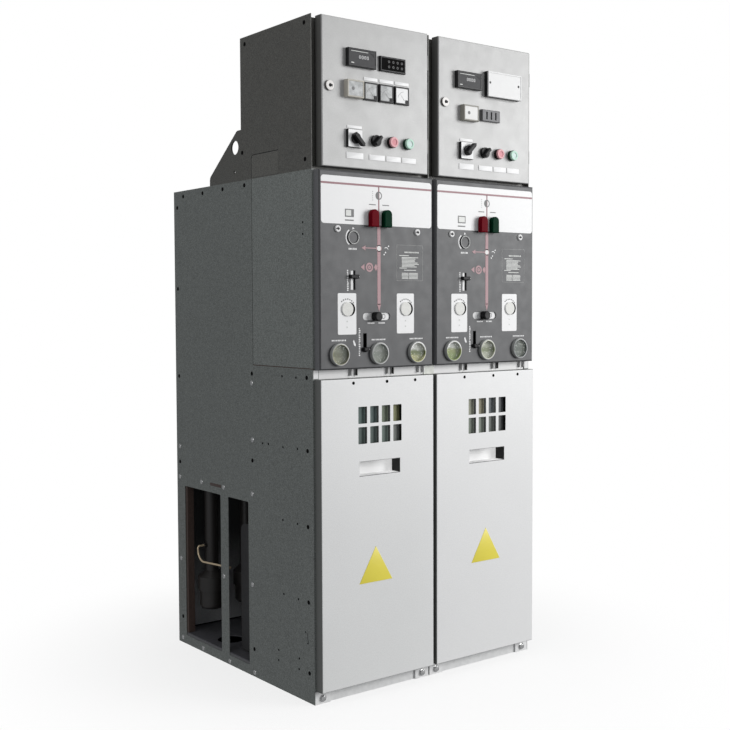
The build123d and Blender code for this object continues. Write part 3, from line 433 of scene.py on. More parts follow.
class Wire:
    """Socket of a shader tree, with arithmetic; node() makes any other node."""

    def __init__(self, tree, socket):
        self.tree = tree
        self.socket = socket

    def node(self, kind, inputs, output=0, **settings):
        """Add a node, set or link its inputs, and return one of its outputs."""
        made = self.tree.nodes.new(kind)
        for key, value in settings.items():
            setattr(made, key, value)
        for key, value in inputs.items():
            if isinstance(value, Wire):
                self.tree.links.new(value.socket, made.inputs[key])
            else:
                made.inputs[key].default_value = value
        return Wire(self.tree, made.outputs[output])

    def maths(self, operation, first, second):
        """Arithmetic on two values."""
        return self.node("ShaderNodeMath", {0: first, 1: second}, operation=operation)

    def __add__(self, other):
        return self.maths("ADD", self, other)

    def __radd__(self, other):
        return self.maths("ADD", other, self)

    def __sub__(self, other):
        return self.maths("SUBTRACT", self, other)

    def __rsub__(self, other):
        return self.maths("SUBTRACT", other, self)

    def __mul__(self, other):
        return self.maths("MULTIPLY", self, other)

    def __rmul__(self, other):
        return self.maths("MULTIPLY", other, self)

    def __truediv__(self, other):
        return self.maths("DIVIDE", self, other)

    def __gt__(self, other):
        return self.maths("GREATER_THAN", self, other)

    def __lt__(self, other):
        return self.maths("LESS_THAN", self, other)

    def ramp(self, low, high):
        """Zero up to one value, one from another on, smooth between them."""
        return self.node("ShaderNodeMapRange", {"Value": self, "From Min": low, "From Max": high},
                         interpolation_type="SMOOTHSTEP")

    def blend(self, low, high):
        """Colour between two colours, with this value as the share of the second."""
        return self.node("ShaderNodeMix", {"Factor": self, "A": low, "B": high}, output="Result",
                         data_type="RGBA")


class Finish:
    """Procedural material: a principled shader and the object coordinates that drive it."""

    def __init__(self, name, metallic=0.0, gloss=0.5):
        self.material = bpy.data.materials.new(name)
        self.material.use_nodes = True
        self.tree = self.material.node_tree
        self.shader = self.tree.nodes["Principled BSDF"]
        self.feed("Metallic", metallic)
        self.feed("Specular IOR Level", gloss)
        start = self.tree.nodes.new("ShaderNodeTexCoord")
        self.place = Wire(self.tree, start.outputs["Object"])
        parts = self.tree.nodes.new("ShaderNodeSeparateXYZ")
        self.tree.links.new(self.place.socket, parts.inputs[0])
        self.x, self.y, self.z = (Wire(self.tree, parts.outputs[axis]) for axis in "XYZ")

    def noise(self, scale, detail=2.0):
        """Noise over the object, about zero."""
        inputs = {"Vector": self.place, "Scale": scale, "Detail": detail}
        return self.place.node("ShaderNodeTexNoise", inputs, output="Fac") - 0.5

    def spangle(self, scale):
        """Cells over the object, about zero."""
        inputs = {"Vector": self.place, "Scale": scale}
        return self.place.node("ShaderNodeTexVoronoi", inputs, output="Distance") - 0.4

    def feed(self, name, value):
        """Link a value to a socket of the shader, or set it."""
        if isinstance(value, Wire):
            self.tree.links.new(value.socket, self.shader.inputs[name])
        else:
            self.shader.inputs[name].default_value = value

    def colour(self, value):
        """Feed the base colour."""
        self.feed("Base Color", value)

    def rough(self, value, scale=140.0, spread=0.2):
        """Roughness that varies about a value."""
        self.feed("Roughness", self.noise(scale) * spread + value)

    def bump(self, scale, strength, distance):
        """Small relief on the surface."""
        height = self.noise(scale, 1.0)
        inputs = {"Height": height, "Strength": strength, "Distance": distance}
        self.feed("Normal", height.node("ShaderNodeBump", inputs, output="Normal"))

    def tone(self, colour, share):
        """Colour lightened and darkened by a value about zero."""
        dark = tuple(value * 0.5 for value in colour[:3]) + (1.0,)
        light = tuple(min(1.0, value * 1.5) for value in colour[:3]) + (1.0,)
        return (share + 0.5).blend(dark, light)

    def across(self, places):
        """Distance in x from the nearest of some places, which come in order."""
        value = self.x - places[0]
        for first, second in zip(places, places[1:]):
            value = value - (self.x > (first + second) / 2) * (second - first)
        return value

    def between(self, x0, x1):
        """One between two places in x, zero outside."""
        return (self.x > x0) * (self.x < x1)


def scaled(colour, light):
    """Colour times a share of light."""
    return [light * value for value in colour]


def painted(name, colour, grain, peel, roughness=0.5, speckle=1.2, second=None, split=None, painted_shade=None):
    """Textured paint; painted_shade darkens it between two heights as painted shade, a second colour takes
    over behind a depth.
    """
    finish = Finish(name)
    share = finish.noise(2.5, 3.0) * grain + finish.noise(380.0, 1.0) * speckle
    base = finish.tone(colour, share)
    # Painted shade: darker between two heights, as the light falls off.
    if painted_shade:
        low, high, light = painted_shade
        base = finish.z.ramp(low, high).blend(base, finish.tone(scaled(colour, light), share))
    if second:
        base = (finish.y > split).blend(base, finish.tone(second, share))
    finish.colour(base)
    finish.rough(roughness, 35.0, 0.15)
    finish.bump(700.0, peel, 0.0004)
    return finish.material


def plastic(name, colour, roughness, grain, gloss):
    """Moulded plastic or print with slight mottling."""
    finish = Finish(name, gloss=gloss)
    finish.colour(finish.tone(colour, finish.noise(60.0, 3.0) * grain + finish.noise(900.0) * grain))
    finish.rough(roughness)
    finish.bump(1500.0, 0.05, 0.0002)
    return finish.material


def metal(name, colour, roughness, spangle, scale, metallic):
    """Bare or plated metal with a spangle."""
    finish = Finish(name, metallic=metallic)
    finish.colour(finish.tone(colour, finish.spangle(scale) * spangle + finish.noise(300.0) * spangle))
    finish.rough(roughness, 50.0)
    finish.bump(500.0, 0.05, 0.0002)
    return finish.material


def glass_finish():
    """Viewport glass with faint smears."""
    finish = Finish("port_glass", gloss=0.12)
    smear = finish.noise(9.0, 4.0)
    finish.colour(finish.tone((0.35, 0.38, 0.33), smear * 0.3))
    finish.feed("Roughness", smear * 0.08 + 0.06)
    finish.feed("Alpha", smear * 0.1 + 0.15)
    return finish.material


def pane_finish(side):
    """Dull pane of the cable cover, with painted shadow, dark, behind the bars between its slots."""
    finish = Finish(side + "_pane_plastic", gloss=0.12)
    share = finish.noise(9.0, 4.0) * 0.5
    left = Looks.left(side)
    start, width, step = PANE_SLOTS
    base = None
    for index, (upper, lower) in enumerate(PANE_TONES[side]):
        column = (finish.z > PANE_SPLIT * MM).blend(finish.tone(lower, share), finish.tone(upper, share))
        first = left + (start + (index - 0.1) * step) * MM
        base = (finish.x > first).blend(base, column) if base else column
    # Painted shadow: the pane is dark behind the bars, where they shade it.
    for index in range(len(PANE_TONES[side])):
        edge = left + (start + index * step + width) * MM
        bar = finish.between(edge + 1.5 * MM, edge + (step - width) * MM)
        base = bar.blend(base, finish.tone((0.012, 0.014, 0.013), share))
    finish.colour(base)
    finish.feed("Roughness", share * 0.08 + 0.3)
    return finish.material


def port_tones(finish):
    """What the viewports show: soft bands, each port with its own tones."""
    share = finish.noise(30.0) * 0.25
    rise = (finish.z - VIEWPORT_HEIGHT * MM + finish.noise(18.0) * 0.01) / (PORT_RADIUS * MM)
    base = None
    for side in SIDES:
        for u, (high, band, low, lean) in zip(VIEWPORT_PLACES, VIEWPORT_TONES[side]):
            middle = Looks.left(side) + u * MM
            across = share - (finish.x - middle) * lean
            disc = rise.ramp(-0.45, -0.15).blend(finish.tone(low, across), finish.tone(band, across))
            disc = rise.ramp(0.05, 0.4).blend(disc, finish.tone(high, across))
            base = (finish.x > middle - 60 * MM).blend(base, disc) if base else disc
    return base


def bezel_finish():
    """Viewport rings whose edge has a painted highlight on its right half and painted shade on its left, and
    whose wall is painted lighter to hide its shade; inside they show what the ports show.
    """
    finish = Finish("viewport_rings", gloss=0.3)
    share = finish.noise(120.0) * 0.2
    across = finish.across([Looks.left(side) + u * MM for side in SIDES for u in VIEWPORT_PLACES])
    rise = finish.z - VIEWPORT_HEIGHT * MM
    outer = (across * across + rise * rise) > (VIEWPORT_RING * MM) ** 2
    near = finish.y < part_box("viewport_bezels")[0].y + 1.5 * MM
    # Painted highlight on the right half of each ring's edge, painted shade on its left half; the wall is
    # painted lighter to hide its shade.
    bright = across.ramp(-0.03, 0.03).blend(
        finish.tone((0.26, 0.27, 0.26), share), finish.tone((0.85, 0.85, 0.83), share))
    edge = near.blend(finish.tone((0.28, 0.29, 0.28), share), bright)
    finish.colour(outer.blend(port_tones(finish), edge))
    finish.rough(0.45)
    return finish.material


def port_finish():
    """Discs seen through the viewports."""
    finish = Finish("viewport_cores", gloss=0.2)
    finish.colour(port_tones(finish))
    finish.rough(0.5, 60.0)
    return finish.material


def rail_finish():
    """White cross rail; its brackets are grey, with painted shade in black on their right halves, and the
    last one pale.
    """
    finish = Finish("rail_paint", gloss=0.3)
    share = finish.noise(80.0, 3.0) * 0.06
    proud = finish.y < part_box("trim_rails")[0].y + 7.5 * MM
    base = proud.blend(finish.tone((0.95, 0.95, 0.94), share), finish.tone((0.62, 0.62, 0.61), share))
    for side in SIDES:
        *pair, last = [Looks.left(side) + u * MM for u in BRACKETS]
        pale = proud * finish.between(last - 20 * MM, last + 20 * MM)
        base = pale.blend(base, finish.tone((0.92, 0.92, 0.91), share))
        # Painted shade: the right half of each of the first two brackets is black, where their channel is in
        # shade.
        for middle in pair:
            right = proud * finish.between(middle, middle + 15 * MM)
            base = right.blend(base, finish.tone((0.010, 0.010, 0.010), share))
    finish.colour(base)
    finish.rough(0.4)
    return finish.material


def instrument_finish(side):
    """Black instrument cases, with the pale ones picked out by their places."""
    finish = Finish(side + "_instrument_cases", gloss=0.2)
    share = finish.noise(80.0, 3.0) * 0.1
    base = finish.tone((0.016, 0.016, 0.017), share)
    left = Looks.left(side)
    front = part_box(side + "_instrument_door")[0].y
    for name, (colour, depth) in CASE_TONES[side].items():
        u0, v0, u1, v1, proud = INSTRUMENTS[side][name]
        inside = finish.between(left + (u0 - 1) * MM, left + (u1 + 1) * MM)
        inside = inside * (finish.z > (v0 - 1) * MM) * (finish.z < (v1 + 1) * MM)
        inside = inside * (finish.y < front - (proud - depth) * MM)
        base = inside.blend(base, finish.tone(colour, share))
    finish.colour(base)
    finish.rough(0.4)
    finish.bump(1200.0, 0.05, 0.0002)
    return finish.material


def lamp_finish(side):
    """Dark collars with a red and a green lens, each with a dish."""
    finish = Finish(side + "_lamp_heads", gloss=0.15)
    share = finish.noise(120.0, 3.0) * 0.15
    red, green = [Looks.left(side) + u * MM for u in LAMP_PLACES]
    collar, rim, dish = (
        (finish.x > (red + green) / 2).blend(finish.tone(first, share), finish.tone(second, share))
        for first, second in LAMP_TONES)
    across = finish.across([red, green])
    rise = finish.z - LAMP_HEIGHT * MM
    lens = ((across * across + rise * rise) < (LAMP_DISH * MM) ** 2).blend(rim, dish)
    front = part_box(side + "_instrument_door")[0].y
    finish.colour((finish.y < front - 9.5 * MM).blend(collar, lens))
    finish.rough(0.4, spread=0.1)
    return finish.material


def base_finish(side):
    """Zinc strip of the base between its paler feet, with painted shade, dark, on its inside faces."""
    finish = Finish(side + "_base_zinc")
    share = finish.spangle(70.0) * 0.15 + finish.noise(300.0) * 0.1
    left, right = (corner.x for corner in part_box(side + "_instrument_box"))
    strip = finish.between(left + FOOT_WIDTH * MM, right - FOOT_WIDTH * MM)
    low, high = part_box(side + "_base_frame")
    # Painted shade: the base frame's inside faces are dark.
    inside = (finish.y > low.y + 12 * MM) * (finish.y < high.y - 12 * MM)
    base = strip.blend(finish.tone((0.90, 0.90, 0.89), share), finish.tone((0.70, 0.71, 0.70), share))
    finish.colour(inside.blend(base, finish.tone((0.11, 0.11, 0.115), share)))
    finish.rough(0.45, 50.0)
    return finish.material


def pocket_finish(side):
    """White pocket handle whose back gets painted light by emission towards the far wall, filling the shade
    that wall casts; the far wall is black, painted shade.
    """
    finish = Finish(side + "_pocket_plastic", gloss=0.12)
    share = finish.noise(60.0, 3.0) * 0.06
    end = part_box(side + "_cover_handle")[1].x - (CUP_RIM + 0.5) * MM
    # Painted shade: the far wall is black.
    wall = finish.x > end
    finish.colour(wall.blend(
        finish.tone((0.95, 0.95, 0.94), share), finish.tone((0.012, 0.012, 0.012), share)))
    # Painted light: emission on the white back that grows towards the far wall, filling the shade it casts.
    painted_glow = finish.x.ramp(end - 80 * MM, end - 5 * MM).blend((0.04, 0.04, 0.04, 1.0), (0.36, 0.36, 0.36, 1.0))
    finish.feed("Emission Color", wall.blend(painted_glow, (0.0, 0.0, 0.0, 1.0)))
    finish.feed("Emission Strength", 1.0)
    finish.rough(0.45)
    return finish.material


class Face:
    """Flat face of the object: millimetres across it, up it and out of it."""

    def __init__(self, origin, across, up, out):
        columns = [Vector(axis) * MM for axis in (across, up, out)]
        self.matrix = Matrix.Translation(origin) @ Matrix(columns).transposed().to_4x4()


def front_face(left, depth):
    """Face that looks towards -Y."""
    return Face((left, depth, 0.0), (1, 0, 0), (0, 0, 1), (0, -1, 0))


def rear_face(right, depth):
    """Face that looks towards +Y, measured from its left edge as seen from behind."""
    return Face((right, depth, 0.0), (-1, 0, 0), (0, 0, 1), (0, 1, 0))


def side_face(side, x, front):
    """Outer side face of the pair, measured back from the front."""
    out = -1 if side == "left" else 1
    return Face((x, front, 0.0), (0, 1, 0), (0, 0, 1), (out, 0, 0))


def rectangle(u0, v0, u1, v1, corner=0.0):
    """Outline of a rectangle, with round corners if asked."""
    if not corner:
        return [(u0, v0), (u1, v0), (u1, v1), (u0, v1)]
    outline = []
    centres = (
        (u1 - corner, v0 + corner, -90), (u1 - corner, v1 - corner, 0), (u0 + corner, v1 - corner, 90),
        (u0 + corner, v0 + corner, 180))
    for u, v, start in centres:
        for step in range(CORNER_POINTS):
            angle = math.radians(start + 90 * step / (CORNER_POINTS - 1))
            outline.append((u + corner * math.cos(angle), v + corner * math.sin(angle)))
    return outline


def centred(u, v, width, height, corner=0.0):
    """Outline of a rectangle about a place."""
    return rectangle(u - width / 2, v - height / 2, u + width / 2, v + height / 2, corner)


def placed(u, v, outline):
    """Outline moved to a place."""
    return [(u + across, v + up) for across, up in outline]


def flap(u0, v0, u1, v1, corner):
    """Outline of a rectangle with a round upper corner away from the start."""
    turn = rectangle(u0, v0, u1, v1, corner)[CORNER_POINTS:2 * CORNER_POINTS]
    return [(u0, v0), (u1, v0)] + turn + [(u0, v1)]


def circle(u, v, radius, steps=28):
    """Outline of a circle."""
    turn = 2 * math.pi / steps
    return [(u + radius * math.cos(turn * i), v + radius * math.sin(turn * i)) for i in range(steps)]


def arc_band(u, v, outer, inner, start, end, steps=14):
    """Outline of a bent strip between two angles in degrees."""
    angles = [math.radians(start + (end - start) * i / steps) for i in range(steps + 1)]
    there = [(u + outer * math.cos(a), v + outer * math.sin(a)) for a in angles]
    back = [(u + inner * math.cos(a), v + inner * math.sin(a)) for a in reversed(angles)]
    return there + back


class Shape:
    """Mesh being built in the millimetres of a face: across, up, out."""

    def __init__(self):
        self.mesh = bmesh.new()

    def prism(self, outline, low, high, ease=0.0):
        """Plate with an outline, between two depths, its outer edge eased if asked."""
        foot = [self.mesh.verts.new((u, v, low)) for u, v in outline]
        head = [self.mesh.verts.new((u, v, high)) for u, v in outline]
        self.mesh.faces.new(foot[::-1])
        cap = self.mesh.faces.new(head)
        for i in range(len(outline)):
            self.mesh.faces.new((foot[i - 1], foot[i], head[i], head[i - 1]))
        if ease:
            edges = list(cap.edges)
            bmesh.ops.bevel(self.mesh, geom=edges, offset=ease, segments=2, affect="EDGES", profile=0.5)
        return self

    def lathe(self, u, v, profile, closed=False, steps=28):
        """Turned body about an axis out of the face, from radius and depth pairs."""
        rings = []
        for radius, depth in profile:
            places = circle(u, v, radius, steps) if radius else [(u, v)]
            rings.append([self.mesh.verts.new((a, b, depth)) for a, b in places])
        for first, second in zip(rings, rings[1:] + rings[:1] if closed else rings[1:]):
            for i in range(steps):
                corners = [first[i % len(first)], first[(i + 1) % len(first)],
                           second[(i + 1) % len(second)], second[i % len(second)]]
                self.mesh.faces.new(list(dict.fromkeys(corners)))
        return self

    def ring(self, u, v, outer, inner, low, high):
        """Flat ring between two depths."""
        return self.lathe(u, v, [(outer, low), (outer, high), (inner, high), (inner, low)], closed=True)

    def add(self, mesh):
        """Take in another mesh that is in the same millimetres, and drop it."""
        self.mesh.from_mesh(mesh)
        bpy.data.meshes.remove(mesh)
        return self

    def to_mesh(self, name, matrix):
        """Mesh in the frame, with its normals out."""
        self.mesh.transform(matrix)
        bmesh.ops.recalc_face_normals(self.mesh, faces=self.mesh.faces)
        mesh = bpy.data.meshes.new(name)
        self.mesh.to_mesh(mesh)
        self.mesh.free()
        return mesh

    def rows(self, rows, thickness, finish, seed, lift=0.0):
        """Rows of bars, each with its own seed."""
        for index, row in enumerate(rows):
            self.add(bars(row, thickness, finish, seed + index, lift))
        return self

    def heads(self, places, head, finish, seed):
        """A head at every place."""
        return self.add(heads(places, head, finish, seed))

    def piece(self, name, face, body, finish, slot=None):
        """Make the shape a named piece that rides a body, with its finish; the slot argument is not used."""
        mesh = self.to_mesh(name, face.matrix)
        mesh.materials.append(Looks.finishes[finish])
        mesh.polygons.foreach_set("use_smooth", [True] * len(mesh.polygons))
        mesh.polygons.foreach_set("material_index", [0] * len(mesh.polygons))
        mesh.set_sharp_from_angle(angle=math.radians(32))
        made = bpy.data.objects.new(name, mesh)
        bpy.context.scene.collection.objects.link(made)
        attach(made, body)


def plate(name, face, body, finish, outline, low, high, ease=0.0, slot=None):
    """One flat plate as a piece of its own."""
    Shape().prism(outline, low, high, ease).piece(name, face, body, finish, slot)


def new_tree(name, sockets):
    """Geometry node tree with named inputs and a geometry output."""
    tree = bpy.data.node_groups.new(name, "GeometryNodeTree")
    tree.interface.new_socket("Geometry", in_out="OUTPUT", socket_type="NodeSocketGeometry")
    for title, kind in sockets:
        tree.interface.new_socket(title, in_out="INPUT", socket_type=kind)
    return tree, tree.nodes.new("NodeGroupInput"), tree.nodes.new("NodeGroupOutput")


def link(tree, *links):
    """Link outputs of nodes to inputs of others."""
    for giver, output, taker, entry in links:
        tree.links.new(giver.outputs[output], taker.inputs[entry])


def close_tree(tree, start, end, place):
    """Realise the instances and set their material."""
    real = tree.nodes.new("GeometryNodeRealizeInstances")
    finish = tree.nodes.new("GeometryNodeSetMaterial")
    link(
        tree, (place, "Instances", real, "Geometry"), (real, "Geometry", finish, "Geometry"),
        (start, "Material", finish, "Material"), (finish, "Geometry", end, "Geometry"))
    return tree


def head_tree():
    """Tree that puts a head at every point, each with its own turn."""
    tree, start, end = new_tree("heads_on_points", (
        ("Points", "NodeSocketGeometry"), ("Head", "NodeSocketObject"), ("Seed", "NodeSocketInt"),
        ("Material", "NodeSocketMaterial")))
    head = tree.nodes.new("GeometryNodeObjectInfo")
    turn = tree.nodes.new("FunctionNodeRandomValue")
    rotation = tree.nodes.new("FunctionNodeEulerToRotation")
    place = tree.nodes.new("GeometryNodeInstanceOnPoints")
    turn.data_type = "FLOAT_VECTOR"
    turn.inputs["Min"].default_value = (0.0, 0.0, 0.0)
    turn.inputs["Max"].default_value = (0.0, 0.0, 2 * math.pi)
    link(
        tree, (start, "Head", head, "Object"), (start, "Seed", turn, "Seed"),
        (turn, "Value", rotation, "Euler"), (start, "Points", place, "Points"),
        (head, "Geometry", place, "Instance"), (rotation, "Rotation", place, "Rotation"))
    return close_tree(tree, start, end, place)


def bar_tree():
    """Tree that lays a row of bars of uneven length."""
    tree, start, end = new_tree("row_of_bars", (
        ("Count", "NodeSocketInt"), ("Start", "NodeSocketVector"), ("Step", "NodeSocketVector"),
        ("Size", "NodeSocketVector"), ("Least", "NodeSocketFloat"), ("Seed", "NodeSocketInt"),
        ("Material", "NodeSocketMaterial")))
    line = tree.nodes.new("GeometryNodeMeshLine")
    bar = tree.nodes.new("GeometryNodeMeshCube")
    half = tree.nodes.new("ShaderNodeVectorMath")
    moved = tree.nodes.new("GeometryNodeTransform")
    length = tree.nodes.new("FunctionNodeRandomValue")
    scale = tree.nodes.new("ShaderNodeCombineXYZ")
    place = tree.nodes.new("GeometryNodeInstanceOnPoints")
    half.operation = "MULTIPLY"
    half.inputs[1].default_value = (0.5, 0.0, 0.0)
    length.data_type = "FLOAT"
    length.inputs[3].default_value = 1.0
    for axis in "YZ":
        scale.inputs[axis].default_value = 1.0
    link(
        tree, (start, "Count", line, "Count"), (start, "Start", line, "Start Location"),
        (start, "Step", line, "Offset"), (start, "Size", bar, "Size"), (start, "Least", length, 2),
        (start, "Seed", length, "Seed"), (length, 1, scale, "X"), (line, "Mesh", place, "Points"),
        (start, "Size", half, 0), (bar, "Mesh", moved, "Geometry"), (half, "Vector", moved, "Translation"),
        (moved, "Geometry", place, "Instance"), (scale, "Vector", place, "Scale"))
    return close_tree(tree, start, end, place)


def run_tree(tree, mesh, values):
    """Evaluate a tree on a mesh with named inputs, and return the plain mesh that it makes."""
    holder = bpy.data.objects.new(tree.name, mesh)
    bpy.context.scene.collection.objects.link(holder)
    modifier = holder.modifiers.new(tree.name, "NODES")
    modifier.node_group = tree
    for item in tree.interface.items_tree:
        if item.in_out == "INPUT" and item.name in values:
            modifier[item.identifier] = values[item.name]
    evaluated = holder.evaluated_get(bpy.context.evaluated_depsgraph_get())
    made = bpy.data.meshes.new_from_object(evaluated)
    holder.modifiers.remove(modifier)
    bpy.data.objects.remove(holder)
    bpy.data.meshes.remove(mesh)
    return made


def heads(places, head, finish, seed):
    """Mesh with a head at every place, in the millimetres of a face."""
    points = bpy.data.meshes.new("points")
    points.from_pydata([(u, v, 0.0) for u, v in places], [], [])
    model = bpy.data.objects.new("head", head.to_mesh("head", Matrix.Identity(4)))
    tree = bpy.data.node_groups.get("heads_on_points") or head_tree()
    made = run_tree(tree, points, {"Head": model, "Seed": seed, "Material": Looks.finishes[finish]})
    bpy.data.objects.remove(model)
    return made


def bars(row, thickness, finish, seed, lift):
    """Mesh with a row of bars that start at one line, in the millimetres of a face."""
    u, v, width, height, count, step, least = row
    values = {
        "Count": count, "Start": (u, v, lift + thickness / 2), "Step": step + (0.0,),
        "Size": (width, height, thickness), "Least": least, "Seed": seed, "Material": Looks.finishes[finish]}
    tree = bpy.data.node_groups.get("row_of_bars") or bar_tree()
    return run_tree(tree, bpy.data.meshes.new("row"), values)


def screw_head(radius, height):
    """Domed head with a round socket."""
    profile = ((1, 0), (1, 0.35), (0.85, 0.75), (0.6, 1), (0.36, 1), (0.36, 0.45), (0, 0.4))
    return Shape().lathe(0, 0, [(a * radius, b * height) for a, b in profile], steps=20)


def plug_head(radius):
    """Low domed plug."""
    profile = ((1, 0), (1, 0.4), (0.8, 0.85), (0.4, 1), (0, 1))
    return Shape().lathe(0, 0, [(a * radius, b * PLUG_HEIGHT) for a, b in profile], steps=18)


def bolt_head(radius):
    """Hexagon head on a washer."""
    washer = 1.35 * radius
    bolt = Shape().lathe(0, 0, [(0, 0), (washer, 0), (washer, WASHER), (0, WASHER)])
    return bolt.prism(circle(0, 0, radius, 6), WASHER, WASHER + 0.62 * radius, 0.6)


class Looks:
    """Finishes and faces that the operators share."""

    finishes = {}

    @classmethod
    def left(cls, side):
        """Left edge of a cabinet."""
        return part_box(side + "_instrument_box")[0].x

    @classmethod
    def front(cls, side, node):
        """Front of one of a cabinet's nodes."""
        return front_face(cls.left(side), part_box(side + "_" + node)[0].y)

    @classmethod
    def outside(cls, side):
        """Outer side face of the pair."""
        low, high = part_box(side + "_side_plate")
        return side_face(side, low.x if side == "left" else high.x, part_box(side + "_cable_cover")[0].y)


class SWITCHGEAR_OT_finishes(bpy.types.Operator):
    """Make the procedural finishes and give one to every CAD node"""

    bl_idname = "switchgear.finishes"
    bl_label = "Finishes"

    def execute(self, context):
        values = context.scene.switchgear_finish
        made = Looks.finishes
        made.update({name: plastic(name, *look) for name, look in PLASTICS.items()})
        made.update({name: metal(name, *look) for name, look in METALS.items()})
        self.paints(made, values)
        made.update({"glass": glass_finish(), "ports": port_finish()})
        made.update({"bezels": bezel_finish(), "rails": rail_finish()})
        for node, finish in SHARED_NODES.items():
            self.dress(node, made[finish])
        for side in SIDES:
            for node, finish in SIDE_NODES.items():
                self.dress(side + "_" + node, made[finish])
            self.dress_side(side, values)
        return {"FINISHED"}

    def paints(self, made, values):
        """Paints that both cabinets share."""
        grain, peel = values.grain, values.peel
        sheets = {
            "cabinet": values.cabinet, "upper": scaled(values.cabinet, UPPER_LIGHT),
            "box": values.box, "wiring": scaled(values.box, WIRING_LIGHT)}
        for name, colour in sheets.items():
            made[name] = painted(name + "_paint", colour, grain, peel, speckle=1.8)
        # The mimic panel's returns, behind a depth, are painted lighter than its face: a painted highlight.
        returns = scaled(values.panel, RETURN_HIGHLIGHT)
        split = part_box("left_mimic_panel")[0].y + 4.2 * MM
        made["panel"] = painted("panel_paint", values.panel, grain, 0.6 * peel, 0.55, 0.8, returns, split)
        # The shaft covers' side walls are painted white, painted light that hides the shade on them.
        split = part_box("shaft_covers")[0].y + 0.8 * MM
        made["discs"] = painted(
            "disc_paint", (0.60, 0.60, 0.57), grain, peel, 0.5, 0.3, (0.85, 0.85, 0.84), split)
        made["module"] = painted("tank_resin", (0.10, 0.06, 0.045), 0.2, peel)
        made["brown"] = painted("inner_post", (0.075, 0.05, 0.042), 0.3, peel)

    def dress_side(self, side, values):
        """Finishes that depend on a cabinet's own places."""
        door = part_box(side + "_instrument_door")[0].y
        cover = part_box(side + "_cable_cover")[0].y
        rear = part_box(side + "_rear_cover")[1].y
        # The right cover is painted lighter: painted light where the lamps reach it less.
        lit_cover_colour = scaled(values.cover, COVER_PAINTED_LIGHT[side])
        # Colour, roughness, speckle, the colour behind a depth, that depth, and painted shade over heights;
        # the dark colours behind the fronts of the door, the cover and the lock are painted shade on their
        # returns, cut edges and side walls
        sheets = {
            "instrument_door": (values.door, 0.42, 0.35, (0.11, 0.11, 0.105), door + 3.2 * MM, DOOR_PAINTED_SHADE),
            "cable_cover": (lit_cover_colour, 0.45, 0.25, (0.13, 0.135, 0.13), cover + 0.7 * MM, COVER_PAINTED_SHADE),
            "door_lock": ((0.62, 0.60, 0.58), 0.4, 0.3, (0.05, 0.042, 0.036), door - 5 * MM),
            "rear_cover": ((0.50, 0.51, 0.52), 0.5, 0.5, values.cabinet, rear - 0.8 * MM, REAR_PAINTED_SHADE)}
        for node, (colour, *look) in sheets.items():
            paint = painted(side + "_" + node + "_paint", colour, values.grain, values.peel, *look)
            self.dress(side + "_" + node, paint)
        makers = {
            "cover_pane": pane_finish, "door_instruments": instrument_finish, "base_frame": base_finish,
            "cover_handle": pocket_finish, "door_lamps": lamp_finish}
        for node, maker in makers.items():
            self.dress(side + "_" + node, maker(side))

    def dress(self, node, material):
        """Give one CAD node its finish."""
        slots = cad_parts[node].data.materials
        slots.clear()
        slots.append(material)


